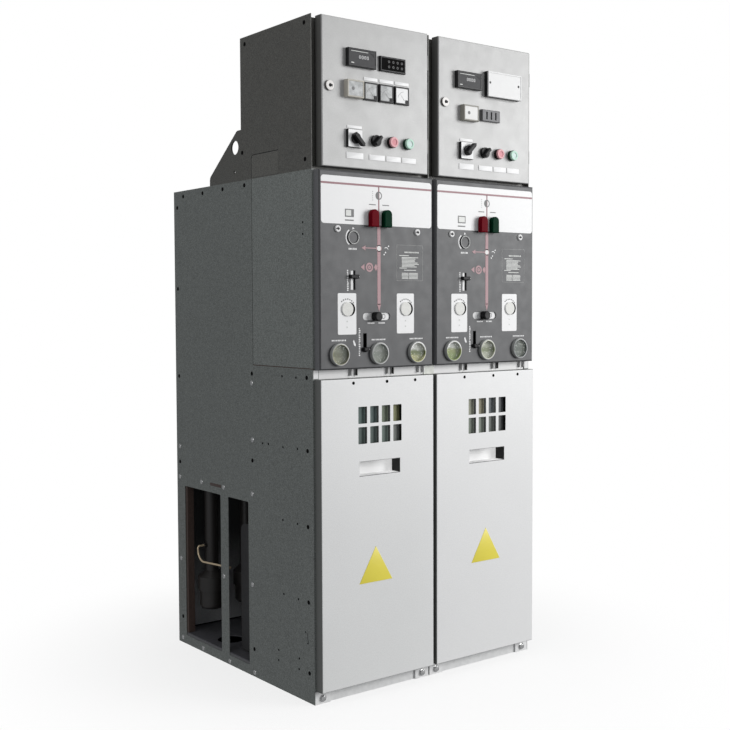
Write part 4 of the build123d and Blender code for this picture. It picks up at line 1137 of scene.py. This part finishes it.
class SWITCHGEAR_OT_doors(bpy.types.Operator):
    """Label plates, instrument faces and keyholes of the instrument doors"""

    bl_idname = "switchgear.doors"
    bl_label = "Instrument doors"

    def execute(self, context):
        sizes = context.scene.switchgear_pieces
        for side in SIDES:
            face = Looks.front(side, "instrument_door")
            body = side + "_door"
            labels = Shape()
            for place in DOOR_LABELS + (METER_LABELS if side == "left" else ()):
                labels.prism(rectangle(*place, sizes.label_corner), 0, sizes.label_thickness, 0.3)
            labels.piece(side + "_door_labels", face, body, "label")
            u, v, size, proud = CAM_PLATE
            outline = centred(u, v, size - 2 * CAM_MARGIN, size - 2 * CAM_MARGIN, 2)
            plate(side + "_cam_plate_face", face, body, "label", outline, proud, proud + 0.25)
            u, v, proud = DOOR_LOCK
            radius, low, high = LOCK_DISC
            key = Shape().prism(circle(u, v, radius), proud - low, proud - high)
            key.prism(placed(u, v, LOCK_KEY), proud - 0.1, proud + 0.2)
            key.piece(side + "_lock_key", face, body, "black")
            self.meters(side, face, body)
        return {"FINISHED"}

    def meters(self, side, face, body):
        """Faces of the instruments, in their recesses."""
        shapes = {name: Shape() for name in METER_FINISHES}
        for name, (u0, v0, u1, v1, proud) in INSTRUMENTS[side].items():
            floor = proud - FACE_RECESS
            top = floor + FACE_THICKNESS
            mark = top + MARK_THICKNESS
            width, height = u1 - u0, v1 - v0
            inset = rectangle(u0 + FACE_INSET, v0 + FACE_INSET, u1 - FACE_INSET, v1 - FACE_INSET)
            if name == "digital_meter":
                shapes["dark"].prism(inset, floor, top)
                shapes["black"].prism(placed(u1, v1, CORNER_MARK), top, mark)
                across, up = DIGIT_SHARES
                self.digits(shapes["white"], u0 + across * width, v0 + up * height, mark)
                start = u0 + BAR_START_SHARE * width
                for low, high, end in BAR_SHARES:
                    bar = rectangle(start, v0 + low * height, u0 + end * width, v0 + high * height)
                    shapes["pale"].prism(bar, top, mark)
            elif name == "display_unit":
                shapes["hole"].prism(inset, floor, top)
                for row in KEY_ROW_SHARES:
                    for column in KEY_COLUMN_SHARES:
                        shapes["grey"].ring(u0 + column * width, v0 + row * height, *KEY_RING, top, mark)
            elif name == "beige_relay":
                shapes["mist" if side == "left" else "cream"].prism(inset, floor, top)
                across, up = BUTTON_SHARES
                button = circle(u0 + across * width, v0 + up * height, RELAY_BUTTON)
                shapes["grey"].prism(button, top, mark)
            elif name == "relay_unit":
                shapes["milk"].prism(inset, floor, top)
                radius, rise, ease = RELAY_SCREW
                for u in (u0 + RELAY_ENDS[0], u1 - RELAY_ENDS[1]):
                    screw = circle(u, v0 + RELAY_SCREW_SHARE * height, radius)
                    shapes["black"].prism(screw, top, top + rise, ease)
            elif name != "slotted_block":
                shapes["white" if name == "third_meter" else "mist"].prism(inset, floor, top)
                pivot = (u0 + width / 2 + PIVOT[0], v0 + PIVOT[1])
                shapes["grey"].prism(arc_band(*pivot, *SCALE_ARC), top, mark)
                shapes["grey"].prism(placed(*pivot, NEEDLE), top, mark)
                boss = rectangle(u1 - METER_BOSS, v0 + FACE_INSET, u1 - FACE_INSET, v0 + METER_BOSS)
                shapes["black"].prism(boss, top, top + BOSS_HEIGHT)
        for name, shape in shapes.items():
            if shape.mesh.verts:
                shape.piece(side + "_meter_" + name, face, body, name)

    def digits(self, shape, u, v, depth):
        """Row of plain noughts."""
        width, height, thick, count = DIGITS
        back = depth - DIGIT_DEPTH
        for left in (u + index * (width + DIGIT_GAP) for index in range(count)):
            for low in (v, v + height - thick):
                shape.prism(rectangle(left, low, left + width, low + thick), back, depth)
            for edge in (left, left + width - thick):
                shape.prism(rectangle(edge, v, edge + thick, v + height), back, depth)


class SWITCHGEAR_OT_mimic(bpy.types.Operator):
    """Printed diagram, plates and marks of the mimic panels"""

    bl_idname = "switchgear.mimic"
    bl_label = "Mimic panels"

    def execute(self, context):
        sizes = context.scene.switchgear_pieces
        for side in SIDES:
            face = Looks.front(side, "mimic_panel")
            self.plates(side, face, sizes.print_thickness)
            self.diagram(side, face, sizes.print_thickness)
            self.marks(side, face, sizes.print_thickness, sizes.seed)
            self.band_marks(side, face, sizes.print_thickness, sizes.seed)
        return {"FINISHED"}

    def plates(self, side, face, ink):
        """White band and the two white plates."""
        white = Shape().prism(rectangle(*WHITE_BAND, 9), 0, ink)
        for place in SHAFT_PLATES:
            white.prism(rectangle(*place, 4), 0, ink)
        white.piece(side + "_white_print", face, "root", "white")

    def diagram(self, side, face, ink):
        """Busbar line, branch line and their symbols."""
        u0, v0, u1, _ = WHITE_BAND
        u, v = BRANCH_NODE
        top = ink * 2
        low, high = BUSBAR_LINE
        maroon = Shape().prism(rectangle(u0, low, u1, high), ink, top)
        half, end = BUSBAR_DROP
        maroon.prism(rectangle(u - half, v0, u + half, end), ink, top)
        maroon.piece(side + "_busbar_print", face, "root", "maroon")
        half, end = BRANCH_LINE
        pink = Shape().prism(rectangle(u - half, end, u + half, v0), 0, top)
        pink.prism(arc_band(u, v, *NODE_RING, 0, 360), 0, top)
        for outline in BRANCH_SYMBOLS:
            pink.prism(outline, 0, top)
        for ring in SIGN_RINGS:
            pink.ring(*ring, 0, top)
        pink.piece(side + "_branch_print", face, "root", "pink")
        plate(side + "_branch_dot", face, "root", "cream", circle(u, v, NODE_DOT), top, top * 1.6)

    def marks(self, side, face, ink, seed):
        """Small white marks: plain bars, scales and arcs."""
        white = Shape().rows(WHITE_ROWS, ink * 2, "white", seed)
        reach, *row = VIEWPORT_ROW
        for u in VIEWPORT_PLACES:
            white.rows([(u - reach, *row)], ink * 2, "white", seed)
        u, v = CHARGE_DIAL
        white.prism(arc_band(u, v, *DIAL_ARC), 0, ink)
        white.prism(DIAL_ARROW, 0, ink)
        white.prism(HAND_SIGN, 0, ink)
        for place in SWITCH_DOTS:
            white.prism(circle(*place, SWITCH_DOT, 12), 0, ink)
        white.prism(arc_band(*SWITCH_ARC), 0, ink)
        white.piece(side + "_white_marks", face, "root", "white")
        pale = Shape().rows(PALE_ROWS, ink * 2, "pale", seed)
        left, low, right, high = PRINT_BLOCK
        half = BORDER_WIDTH / 2
        for edge, level in ((left, low), (right, high)):
            pale.prism(rectangle(left, level - half, right, level + half), 0, ink)
            pale.prism(rectangle(edge - half, low + half, edge + half, high - half), 0, ink)
        outer, inner, depth = DIAL_RIM
        pale.ring(u, v, outer, inner, depth, depth + ink)
        pale.piece(side + "_pale_marks", face, "root", "pale")

    def band_marks(self, side, face, ink, seed):
        """Marks on the white band and on the white plates, and painted shade to the right of each shaft
        cover.
        """
        grey = Shape().rows(GREY_ROWS, ink * 2, "grey", seed)
        shade = Shape()
        u0, v0, u1, v1 = COUNTER
        grey.prism(rectangle(*COUNTER), ink, ink * 2)
        u, v = BREAKER_SIGN
        outer, inner = BREAKER_RING
        grey.ring(u, v, outer, inner, ink, ink * 2.5)
        half = circle(u, v, inner)[7:22]
        grey.prism(half, ink, ink * 2.5)
        pale = Shape().prism(
            rectangle(u0 + 3, v0 + 3, u1 - (10 if side == "left" else 3), v1 - 3), ink * 2, ink * 3)
        right, radius = SHAFT_SHADE
        back, down, *row = SHAFT_ROW
        for u, v in SHAFT_COVERS:
            for start in DASH_STARTS:
                grey.prism(arc_band(u, v, *SHAFT_DASHES, start, start + DASH_TURN, 3), ink, ink * 1.6)
            # Painted shade to the right of each shaft cover, standing in for the shade in its recess.
            shade.prism(circle(u + right, v, radius), ink, ink * 1.6)
            pale.rows([(u - back, v - down, *row)], ink * 3, "pale", seed)
        shade.piece(side + "_disc_shades", face, "root", "hole")
        grey.piece(side + "_grey_print", face, "root", "grey", "panel_grey")
        pale.piece(side + "_pale_print", face, "root", "pale")


class SWITCHGEAR_OT_slots(bpy.types.Operator):
    """Shutters and backs of the slots, keyholes of the locks and cores of the viewports"""

    bl_idname = "switchgear.slots"
    bl_label = "Slot backs"

    def execute(self, context):
        for side in SIDES:
            face = Looks.front(side, "mimic_panel")
            self.lever(side, face)
            self.knob(side, face)
            u, v, width, height = LOW_SLOT
            back = centred(u, v, width + 2 * LOW_BACK_MARGIN, height + 2 * LOW_BACK_MARGIN)
            black = Shape().prism(back, *LOW_BACK_DEPTHS)
            for u, v in PANEL_LOCKS:
                black.prism(centred(u, v, *LOCK_KEYHOLE), *KEYHOLE_DEPTHS)
                black.prism(placed(u, v, LOCK_WEDGE), *WEDGE_DEPTHS)
            black.piece(side + "_dark_backs", face, "root", "black")
            core = Shape()
            near, far = PORT_DEPTHS
            for u in VIEWPORT_PLACES:
                core.lathe(u, VIEWPORT_HEIGHT, [(PORT_RADIUS, near), (PORT_RADIUS, far), (0, far)])
            core.piece(side + "_viewport_cores", face, "root", "ports")
        return {"FINISHED"}

    def lever(self, side, face):
        """White strip behind the upper lever's slot, with a dark edge."""
        u, v, width, height = LEVER_SLOT
        low, high = v - height / 2 - LEVER_REACH[0], v + height / 2 + LEVER_REACH[1]
        edge = u + width / 2
        body = side + "_interlock_lever"
        strip = rectangle(u - width / 2 - SHUTTER_MARGIN, low, edge + SHUTTER_MARGIN, high, 2)
        plate(body + "_shutter", face, body, "white", strip, *SHUTTER_DEPTHS)
        shade = rectangle(edge - SHADE_REACH[0], low, edge + SHADE_REACH[1], high)
        plate(side + "_lever_shade", face, body, "black", shade, *SHADE_DEPTHS)

    def knob(self, side, face):
        """White strip and mark behind the knob's slot, and the white tips of the levers."""
        u, v, width, height = KNOB_SLOT
        body = side + "_slide_knob"
        strip = centred(u, v, width + 2 * KNOB_REACH, height + 4, 2)
        plate(body + "_shutter", face, body, "white", strip, *SHUTTER_DEPTHS)
        for name, end, level in LEVER_TIPS:
            lever = side + "_" + name
            plate(lever + "_tip", face, lever, "white", placed(end, level, TIP_OUTLINE), *TIP_DEPTHS)
        right, outer, inner = KNOB_MARK
        mark = Shape().ring(u + right, v, outer, inner, *KNOB_MARK_DEPTHS)
        mark.piece(side + "_knob_mark", face, body, "grey")


class SWITCHGEAR_OT_covers(bpy.types.Operator):
    """Triangular plates, pocket lines and plugs of the cable covers"""

    bl_idname = "switchgear.covers"
    bl_label = "Cable covers"

    def execute(self, context):
        sizes = context.scene.switchgear_pieces
        u0, v0, u1, v1 = POCKET
        for side in SIDES:
            face = Looks.front(side, "cable_cover")
            body = side + "_cover"
            triangle = TRIANGLES[side]
            plate(side + "_triangle_plate", face, body, "yellow", triangle, 0, sizes.plate_thickness, 0.2)
            line = rectangle(u0, v0 - POCKET_LINE[0], u1, v0 + POCKET_LINE[1])
            plate(side + "_pocket_line", face, body, "line", line, *POCKET_DEPTHS)
            edge = rectangle(u0, v1 - POCKET_EDGE[0], u1, v1 + POCKET_EDGE[1])
            plate(side + "_pocket_edge", face, body, "grey", edge, *POCKET_DEPTHS, slot="white_plastic")
            plugs = Shape().heads(COVER_PLUGS, plug_head(COVER_PLUG), "hole", sizes.seed)
            plugs.piece(side + "_cover_plugs", face, body, "hole")
        return {"FINISHED"}


class SWITCHGEAR_OT_fasteners(bpy.types.Operator):
    """Screws, plugs, rivets and bolts of the fixed sheets"""

    bl_idname = "switchgear.fasteners"
    bl_label = "Fasteners"

    def execute(self, context):
        sizes = context.scene.switchgear_pieces
        for side in SIDES:
            face = Looks.outside(side)
            self.screws(side + "_side_screws", face, SIDE_SCREWS, sizes)
            dark = Shape()
            for places, radius in (
                    (SIDE_PLUGS, sizes.plug_radius), (SIDE_RIVETS, sizes.rivet_radius),
                    (BOX_SCREWS, sizes.plug_radius)):
                dark.heads(places, plug_head(radius), "hole", sizes.seed)
            dark.piece(side + "_side_plugs", face, "root", "hole")
            front = Looks.front(side, "base_frame")
            bolts = Shape().heads(FOOT_BOLTS, bolt_head(sizes.bolt_radius), "fastener", sizes.seed)
            bolts.piece(side + "_foot_bolts", front, "root", "fastener")
            if side == "left":
                plate("base_joint", front, "root", "hole", rectangle(*BASE_JOINT), 0, 0.3)
            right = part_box(side + "_instrument_box")[1].x
            rear = rear_face(right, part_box(side + "_rear_cover")[1].y)
            self.screws(side + "_rear_screws", rear, REAR_SCREWS, sizes)
        return {"FINISHED"}

    def screws(self, name, face, places, sizes):
        """Piece with a bright screw at every place."""
        head = screw_head(sizes.screw_radius, sizes.screw_height)
        Shape().heads(places, head, "fastener", sizes.seed).piece(name, face, "root", "fastener")


class SWITCHGEAR_OT_sides(bpy.types.Operator):
    """Wiring covers on the instrument boxes, seals, inner posts and panels"""

    bl_idname = "switchgear.sides"
    bl_label = "Sides"

    def execute(self, context):
        for side in SIDES:
            face = Looks.outside(side)
            self.wiring(side, face)
            plate(side + "_side_strip", face, "root", "brown", rectangle(*SIDE_STRIP, 2), 0, 0.6, 0.2)
            post = rectangle(*INNER_POST)
            plate(side + "_inner_post", face, "root", "brown", post, *INNER_POST_DEPTHS)
            inner = flap(*INNER_PANEL, INNER_PANEL_CORNER)
            plate(side + "_inner_panel", face, "root", "dark", inner, *INNER_PANEL_DEPTHS, slot="box_grey")
            rear = front_face(Looks.left(side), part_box(side + "_rear_cover")[1].y)
            strip = rectangle(*FLOOR_SEAL)
            plate(side + "_floor_seal", rear, "root", "black", strip, *FLOOR_SEAL_DEPTHS, 0.8)
            flange = Looks.front(side, "side_plate")
            end = rectangle(*RAIL_ENDS[side])
            plate(side + "_rail_end", flange, "root", "white", end, *RAIL_END_DEPTHS)
            seal = Shape()
            for place in DOOR_SEAL:
                seal.prism(rectangle(*place), *DOOR_SEAL_DEPTHS, 1.5)
            seal.piece(side + "_door_seal", Looks.front(side, "instrument_box"), "root", "black")
        return {"FINISHED"}

    def wiring(self, side, face):
        """Small wiring cover on the box's side and its seam; a slanted mark low on the side sheet."""
        u0, v0, u1, v1 = WIRING_COVER
        plate(side + "_wiring_cover", face, "root", "wiring", flap(*WIRING_COVER, WIRING_CORNER), 0, 0.4)
        seam = Shape().prism(rectangle(u0, v1, u1 - 8, v1 + 2), 0, 0.5)
        corner = (u1 - WIRING_CORNER, v1 - WIRING_CORNER)
        seam.prism(arc_band(*corner, WIRING_CORNER + 2, WIRING_CORNER, 0, 90), 0, 0.5)
        seam.prism(rectangle(u1, v0, u1 + 2, v1 - 9), 0, 0.5)
        for place in SLANT_DOTS:
            seam.prism(circle(*place, SLANT_DOT, 12), 0, 0.3)
        seam.prism(SLANT_MARK, 0, 0.3)
        seam.piece(side + "_side_seams", face, "root", "black")


class SWITCHGEAR_OT_boxes(bpy.types.Operator):
    """Mounting plates with terminal rows and wiring ducts inside the instrument boxes"""

    bl_idname = "switchgear.boxes"
    bl_label = "Inside the boxes"

    def execute(self, context):
        seed = context.scene.switchgear_pieces.seed
        u0, _, u1, _ = MOUNTING_PLATE
        for side in SIDES:
            face = front_face(Looks.left(side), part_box(side + "_instrument_box")[1].y - MOUNTING_GAP * MM)
            board = rectangle(*MOUNTING_PLATE, 4)
            plate(side + "_mounting_plate", face, "root", "galvanised", board, 0, PLATE_FRONT, 0.4)
            rails, blocks, ducts, slits = Shape(), Shape(), Shape(), Shape()
            lip, web = RAIL_HALVES
            front, fold = RAIL_FRONTS
            row = (TERMINAL_COUNT, (TERMINAL_STEP, 0), 1.0)
            for v in TERMINAL_ROWS:
                rails.prism(rectangle(u0 + RAIL_INSET, v - lip, u1 - RAIL_INSET, v + lip), fold, front)
                rails.prism(rectangle(u0 + RAIL_INSET, v - web, u1 - RAIL_INSET, v + web), PLATE_FRONT, fold)
                start, width, height, depth, lift = TERMINAL
                blocks.rows([(u0 + start, v, width, height, *row)], depth, "pale", seed, lift)
                start, width, height, depth, lift = TERMINAL_SLIT
                low = v - TERMINAL_SLIT_DROP
                slits.rows([(u0 + start, low, width, height, *row)], depth, "hole", seed, lift)
            inset, half, front = DUCT
            row = (DUCT_SLIT_COUNT, (DUCT_SLIT_STEP, 0), 1.0)
            start, width, height, depth, lift = DUCT_SLIT
            for v in WIRING_DUCTS:
                ducts.prism(rectangle(u0 + inset, v - half, u1 - inset, v + half), PLATE_FRONT, front, 1.0)
                for level in (v - DUCT_SLIT_RISE, v + DUCT_SLIT_RISE):
                    slits.rows([(u0 + start, level, width, height, *row)], depth, "hole", seed, lift)
            rails.piece(side + "_terminal_rails", face, "root", "fastener")
            blocks.piece(side + "_terminal_blocks", face, "root", "pale")
            ducts.piece(side + "_wiring_ducts", face, "root", "mist")
            slits.piece(side + "_duct_slits", face, "root", "hole")
        return {"FINISHED"}


class SWITCHGEAR_OT_stage(bpy.types.Operator):
    """Camera, pale floor, white surround and soft lights"""

    bl_idname = "switchgear.stage"
    bl_label = "Stage"

    def execute(self, context):
        values = context.scene.switchgear_stage
        self.camera(context, values)
        self.floor(context)
        self.surround(context, values)
        for name, (place, target, size) in LIGHTS.items():
            self.lamp(context, name, place, target, size, getattr(values, name + "_power"))
        context.scene.view_settings.view_transform = "Standard"
        return {"FINISHED"}

    def camera(self, context, values):
        """Camera at its fitted place."""
        level = math.cos(values.pitch)
        ahead = Vector((math.sin(values.yaw) * level, math.cos(values.yaw) * level, math.sin(values.pitch)))
        right = Vector((math.cos(values.yaw), -math.sin(values.yaw), 0.0))
        up = right.cross(ahead)
        across = right * math.cos(values.roll) + up * math.sin(values.roll)
        above = up * math.cos(values.roll) - right * math.sin(values.roll)
        data = bpy.data.cameras.new("camera")
        data.sensor_width = SENSOR_WIDTH
        data.lens = values.lens
        made = bpy.data.objects.new("camera", data)
        turn = Matrix((across, above, -ahead)).transposed().to_4x4()
        made.matrix_world = Matrix.Translation(values.camera_place) @ turn
        context.scene.collection.objects.link(made)
        context.scene.camera = made

    def floor(self, context):
        """Pale disc that fades out into the white surround, and a dark sheet under the base."""
        finish = Finish("floor_white")
        finish.colour(finish.tone((0.95, 0.95, 0.95), finish.noise(3.0) * 0.02))
        finish.feed("Roughness", 0.9)
        finish.feed("Emission Color", (1.0, 1.0, 1.0, 1.0))
        finish.feed("Emission Strength", 0.12)
        far = finish.place.node("ShaderNodeVectorMath", {0: finish.place}, output="Value", operation="LENGTH")
        finish.feed("Alpha", FLOOR_ALPHA - far.ramp(*FLOOR_FADE) * FLOOR_ALPHA)
        disc = Shape().lathe(0, 0, [(0, 0), (FLOOR_RADIUS, 0)], steps=64)
        self.lay(context, "floor", disc, finish.material, -0.0005)
        low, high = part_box("left_base_frame")[0] / MM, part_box("right_base_frame")[1] / MM
        margin = SHADE_MARGIN
        sheet = rectangle(low.x + margin, low.y + margin, high.x - margin, high.y - margin)
        dark = plastic("shade_dark", (0.02, 0.02, 0.021), 0.8, 0.2, 0.1)
        self.lay(context, "shade", Shape().prism(sheet, *SHADE_SHEET), dark)

    def lay(self, context, name, shape, material, height=0.0):
        """Lay a flat object of the stage at a height."""
        mesh = shape.to_mesh(name, Matrix.Scale(MM, 4))
        mesh.materials.append(material)
        made = bpy.data.objects.new(name, mesh)
        context.scene.collection.objects.link(made)
        made.location.z = height

    def surround(self, context, values):
        """White to the camera, softer to everything else."""
        world = bpy.data.worlds.new("surround")
        context.scene.world = world
        world.use_nodes = True
        tree = world.node_tree
        tree.nodes.clear()
        path = Wire(tree, tree.nodes.new("ShaderNodeLightPath").outputs["Is Camera Ray"])
        cool = (0.95, 0.97, 1.0, 1.0)
        soft = path.node("ShaderNodeBackground", {"Color": cool, "Strength": values.ambient})
        white = path.node("ShaderNodeBackground", {"Color": (1.0, 1.0, 1.0, 1.0), "Strength": 1.0})
        both = path.node("ShaderNodeMixShader", {0: path, 1: soft, 2: white})
        end = tree.nodes.new("ShaderNodeOutputWorld")
        tree.links.new(both.socket, end.inputs["Surface"])

    def lamp(self, context, name, place, target, size, power):
        """Square area light that looks at a target."""
        data = bpy.data.lights.new(name, "AREA")
        data.size = size
        data.energy = power
        made = bpy.data.objects.new(name, data)
        made.location = place
        made.rotation_euler = (Vector(target) - Vector(place)).to_track_quat("-Z", "Y").to_euler()
        context.scene.collection.objects.link(made)


class SWITCHGEAR_PT_panel(bpy.types.Panel):
    """Sidebar panel with the settings and the operators"""

    bl_idname = "SWITCHGEAR_PT_panel"
    bl_label = "Switchgear looks"
    bl_space_type = "VIEW_3D"
    bl_region_type = "UI"
    bl_category = "Switchgear"

    def draw(self, context):
        for name in SETTINGS:
            group = getattr(context.scene, name)
            box = self.layout.box()
            for key in group.bl_rna.properties.keys():
                if key not in ("rna_type", "name"):
                    box.prop(group, key)
        for operator in OPERATORS:
            self.layout.operator(operator.bl_idname)


SETTINGS = {
    "switchgear_finish": FinishSettings, "switchgear_pieces": PieceSettings,
    "switchgear_stage": StageSettings}
OPERATORS = (
    SWITCHGEAR_OT_finishes, SWITCHGEAR_OT_doors, SWITCHGEAR_OT_mimic, SWITCHGEAR_OT_slots,
    SWITCHGEAR_OT_covers, SWITCHGEAR_OT_fasteners, SWITCHGEAR_OT_sides, SWITCHGEAR_OT_boxes,
    SWITCHGEAR_OT_stage)
CLASSES = tuple(SETTINGS.values()) + OPERATORS + (SWITCHGEAR_PT_panel,)


def register():
    """Register the classes and their settings."""
    for cls in CLASSES:
        bpy.utils.register_class(cls)
    for name, group in SETTINGS.items():
        setattr(bpy.types.Scene, name, bpy.props.PointerProperty(type=group))


def unregister():
    """Take the settings and the classes away again."""
    for name in SETTINGS:
        delattr(bpy.types.Scene, name)
    for cls in reversed(CLASSES):
        bpy.utils.unregister_class(cls)


def main():
    """Build the looks in order."""
    register()
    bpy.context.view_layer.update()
    for step in ("finishes", "doors", "mimic", "slots", "covers", "fasteners", "sides", "boxes", "stage"):
        getattr(bpy.ops.switchgear, step)()


if __name__ == "__main__":
    main()
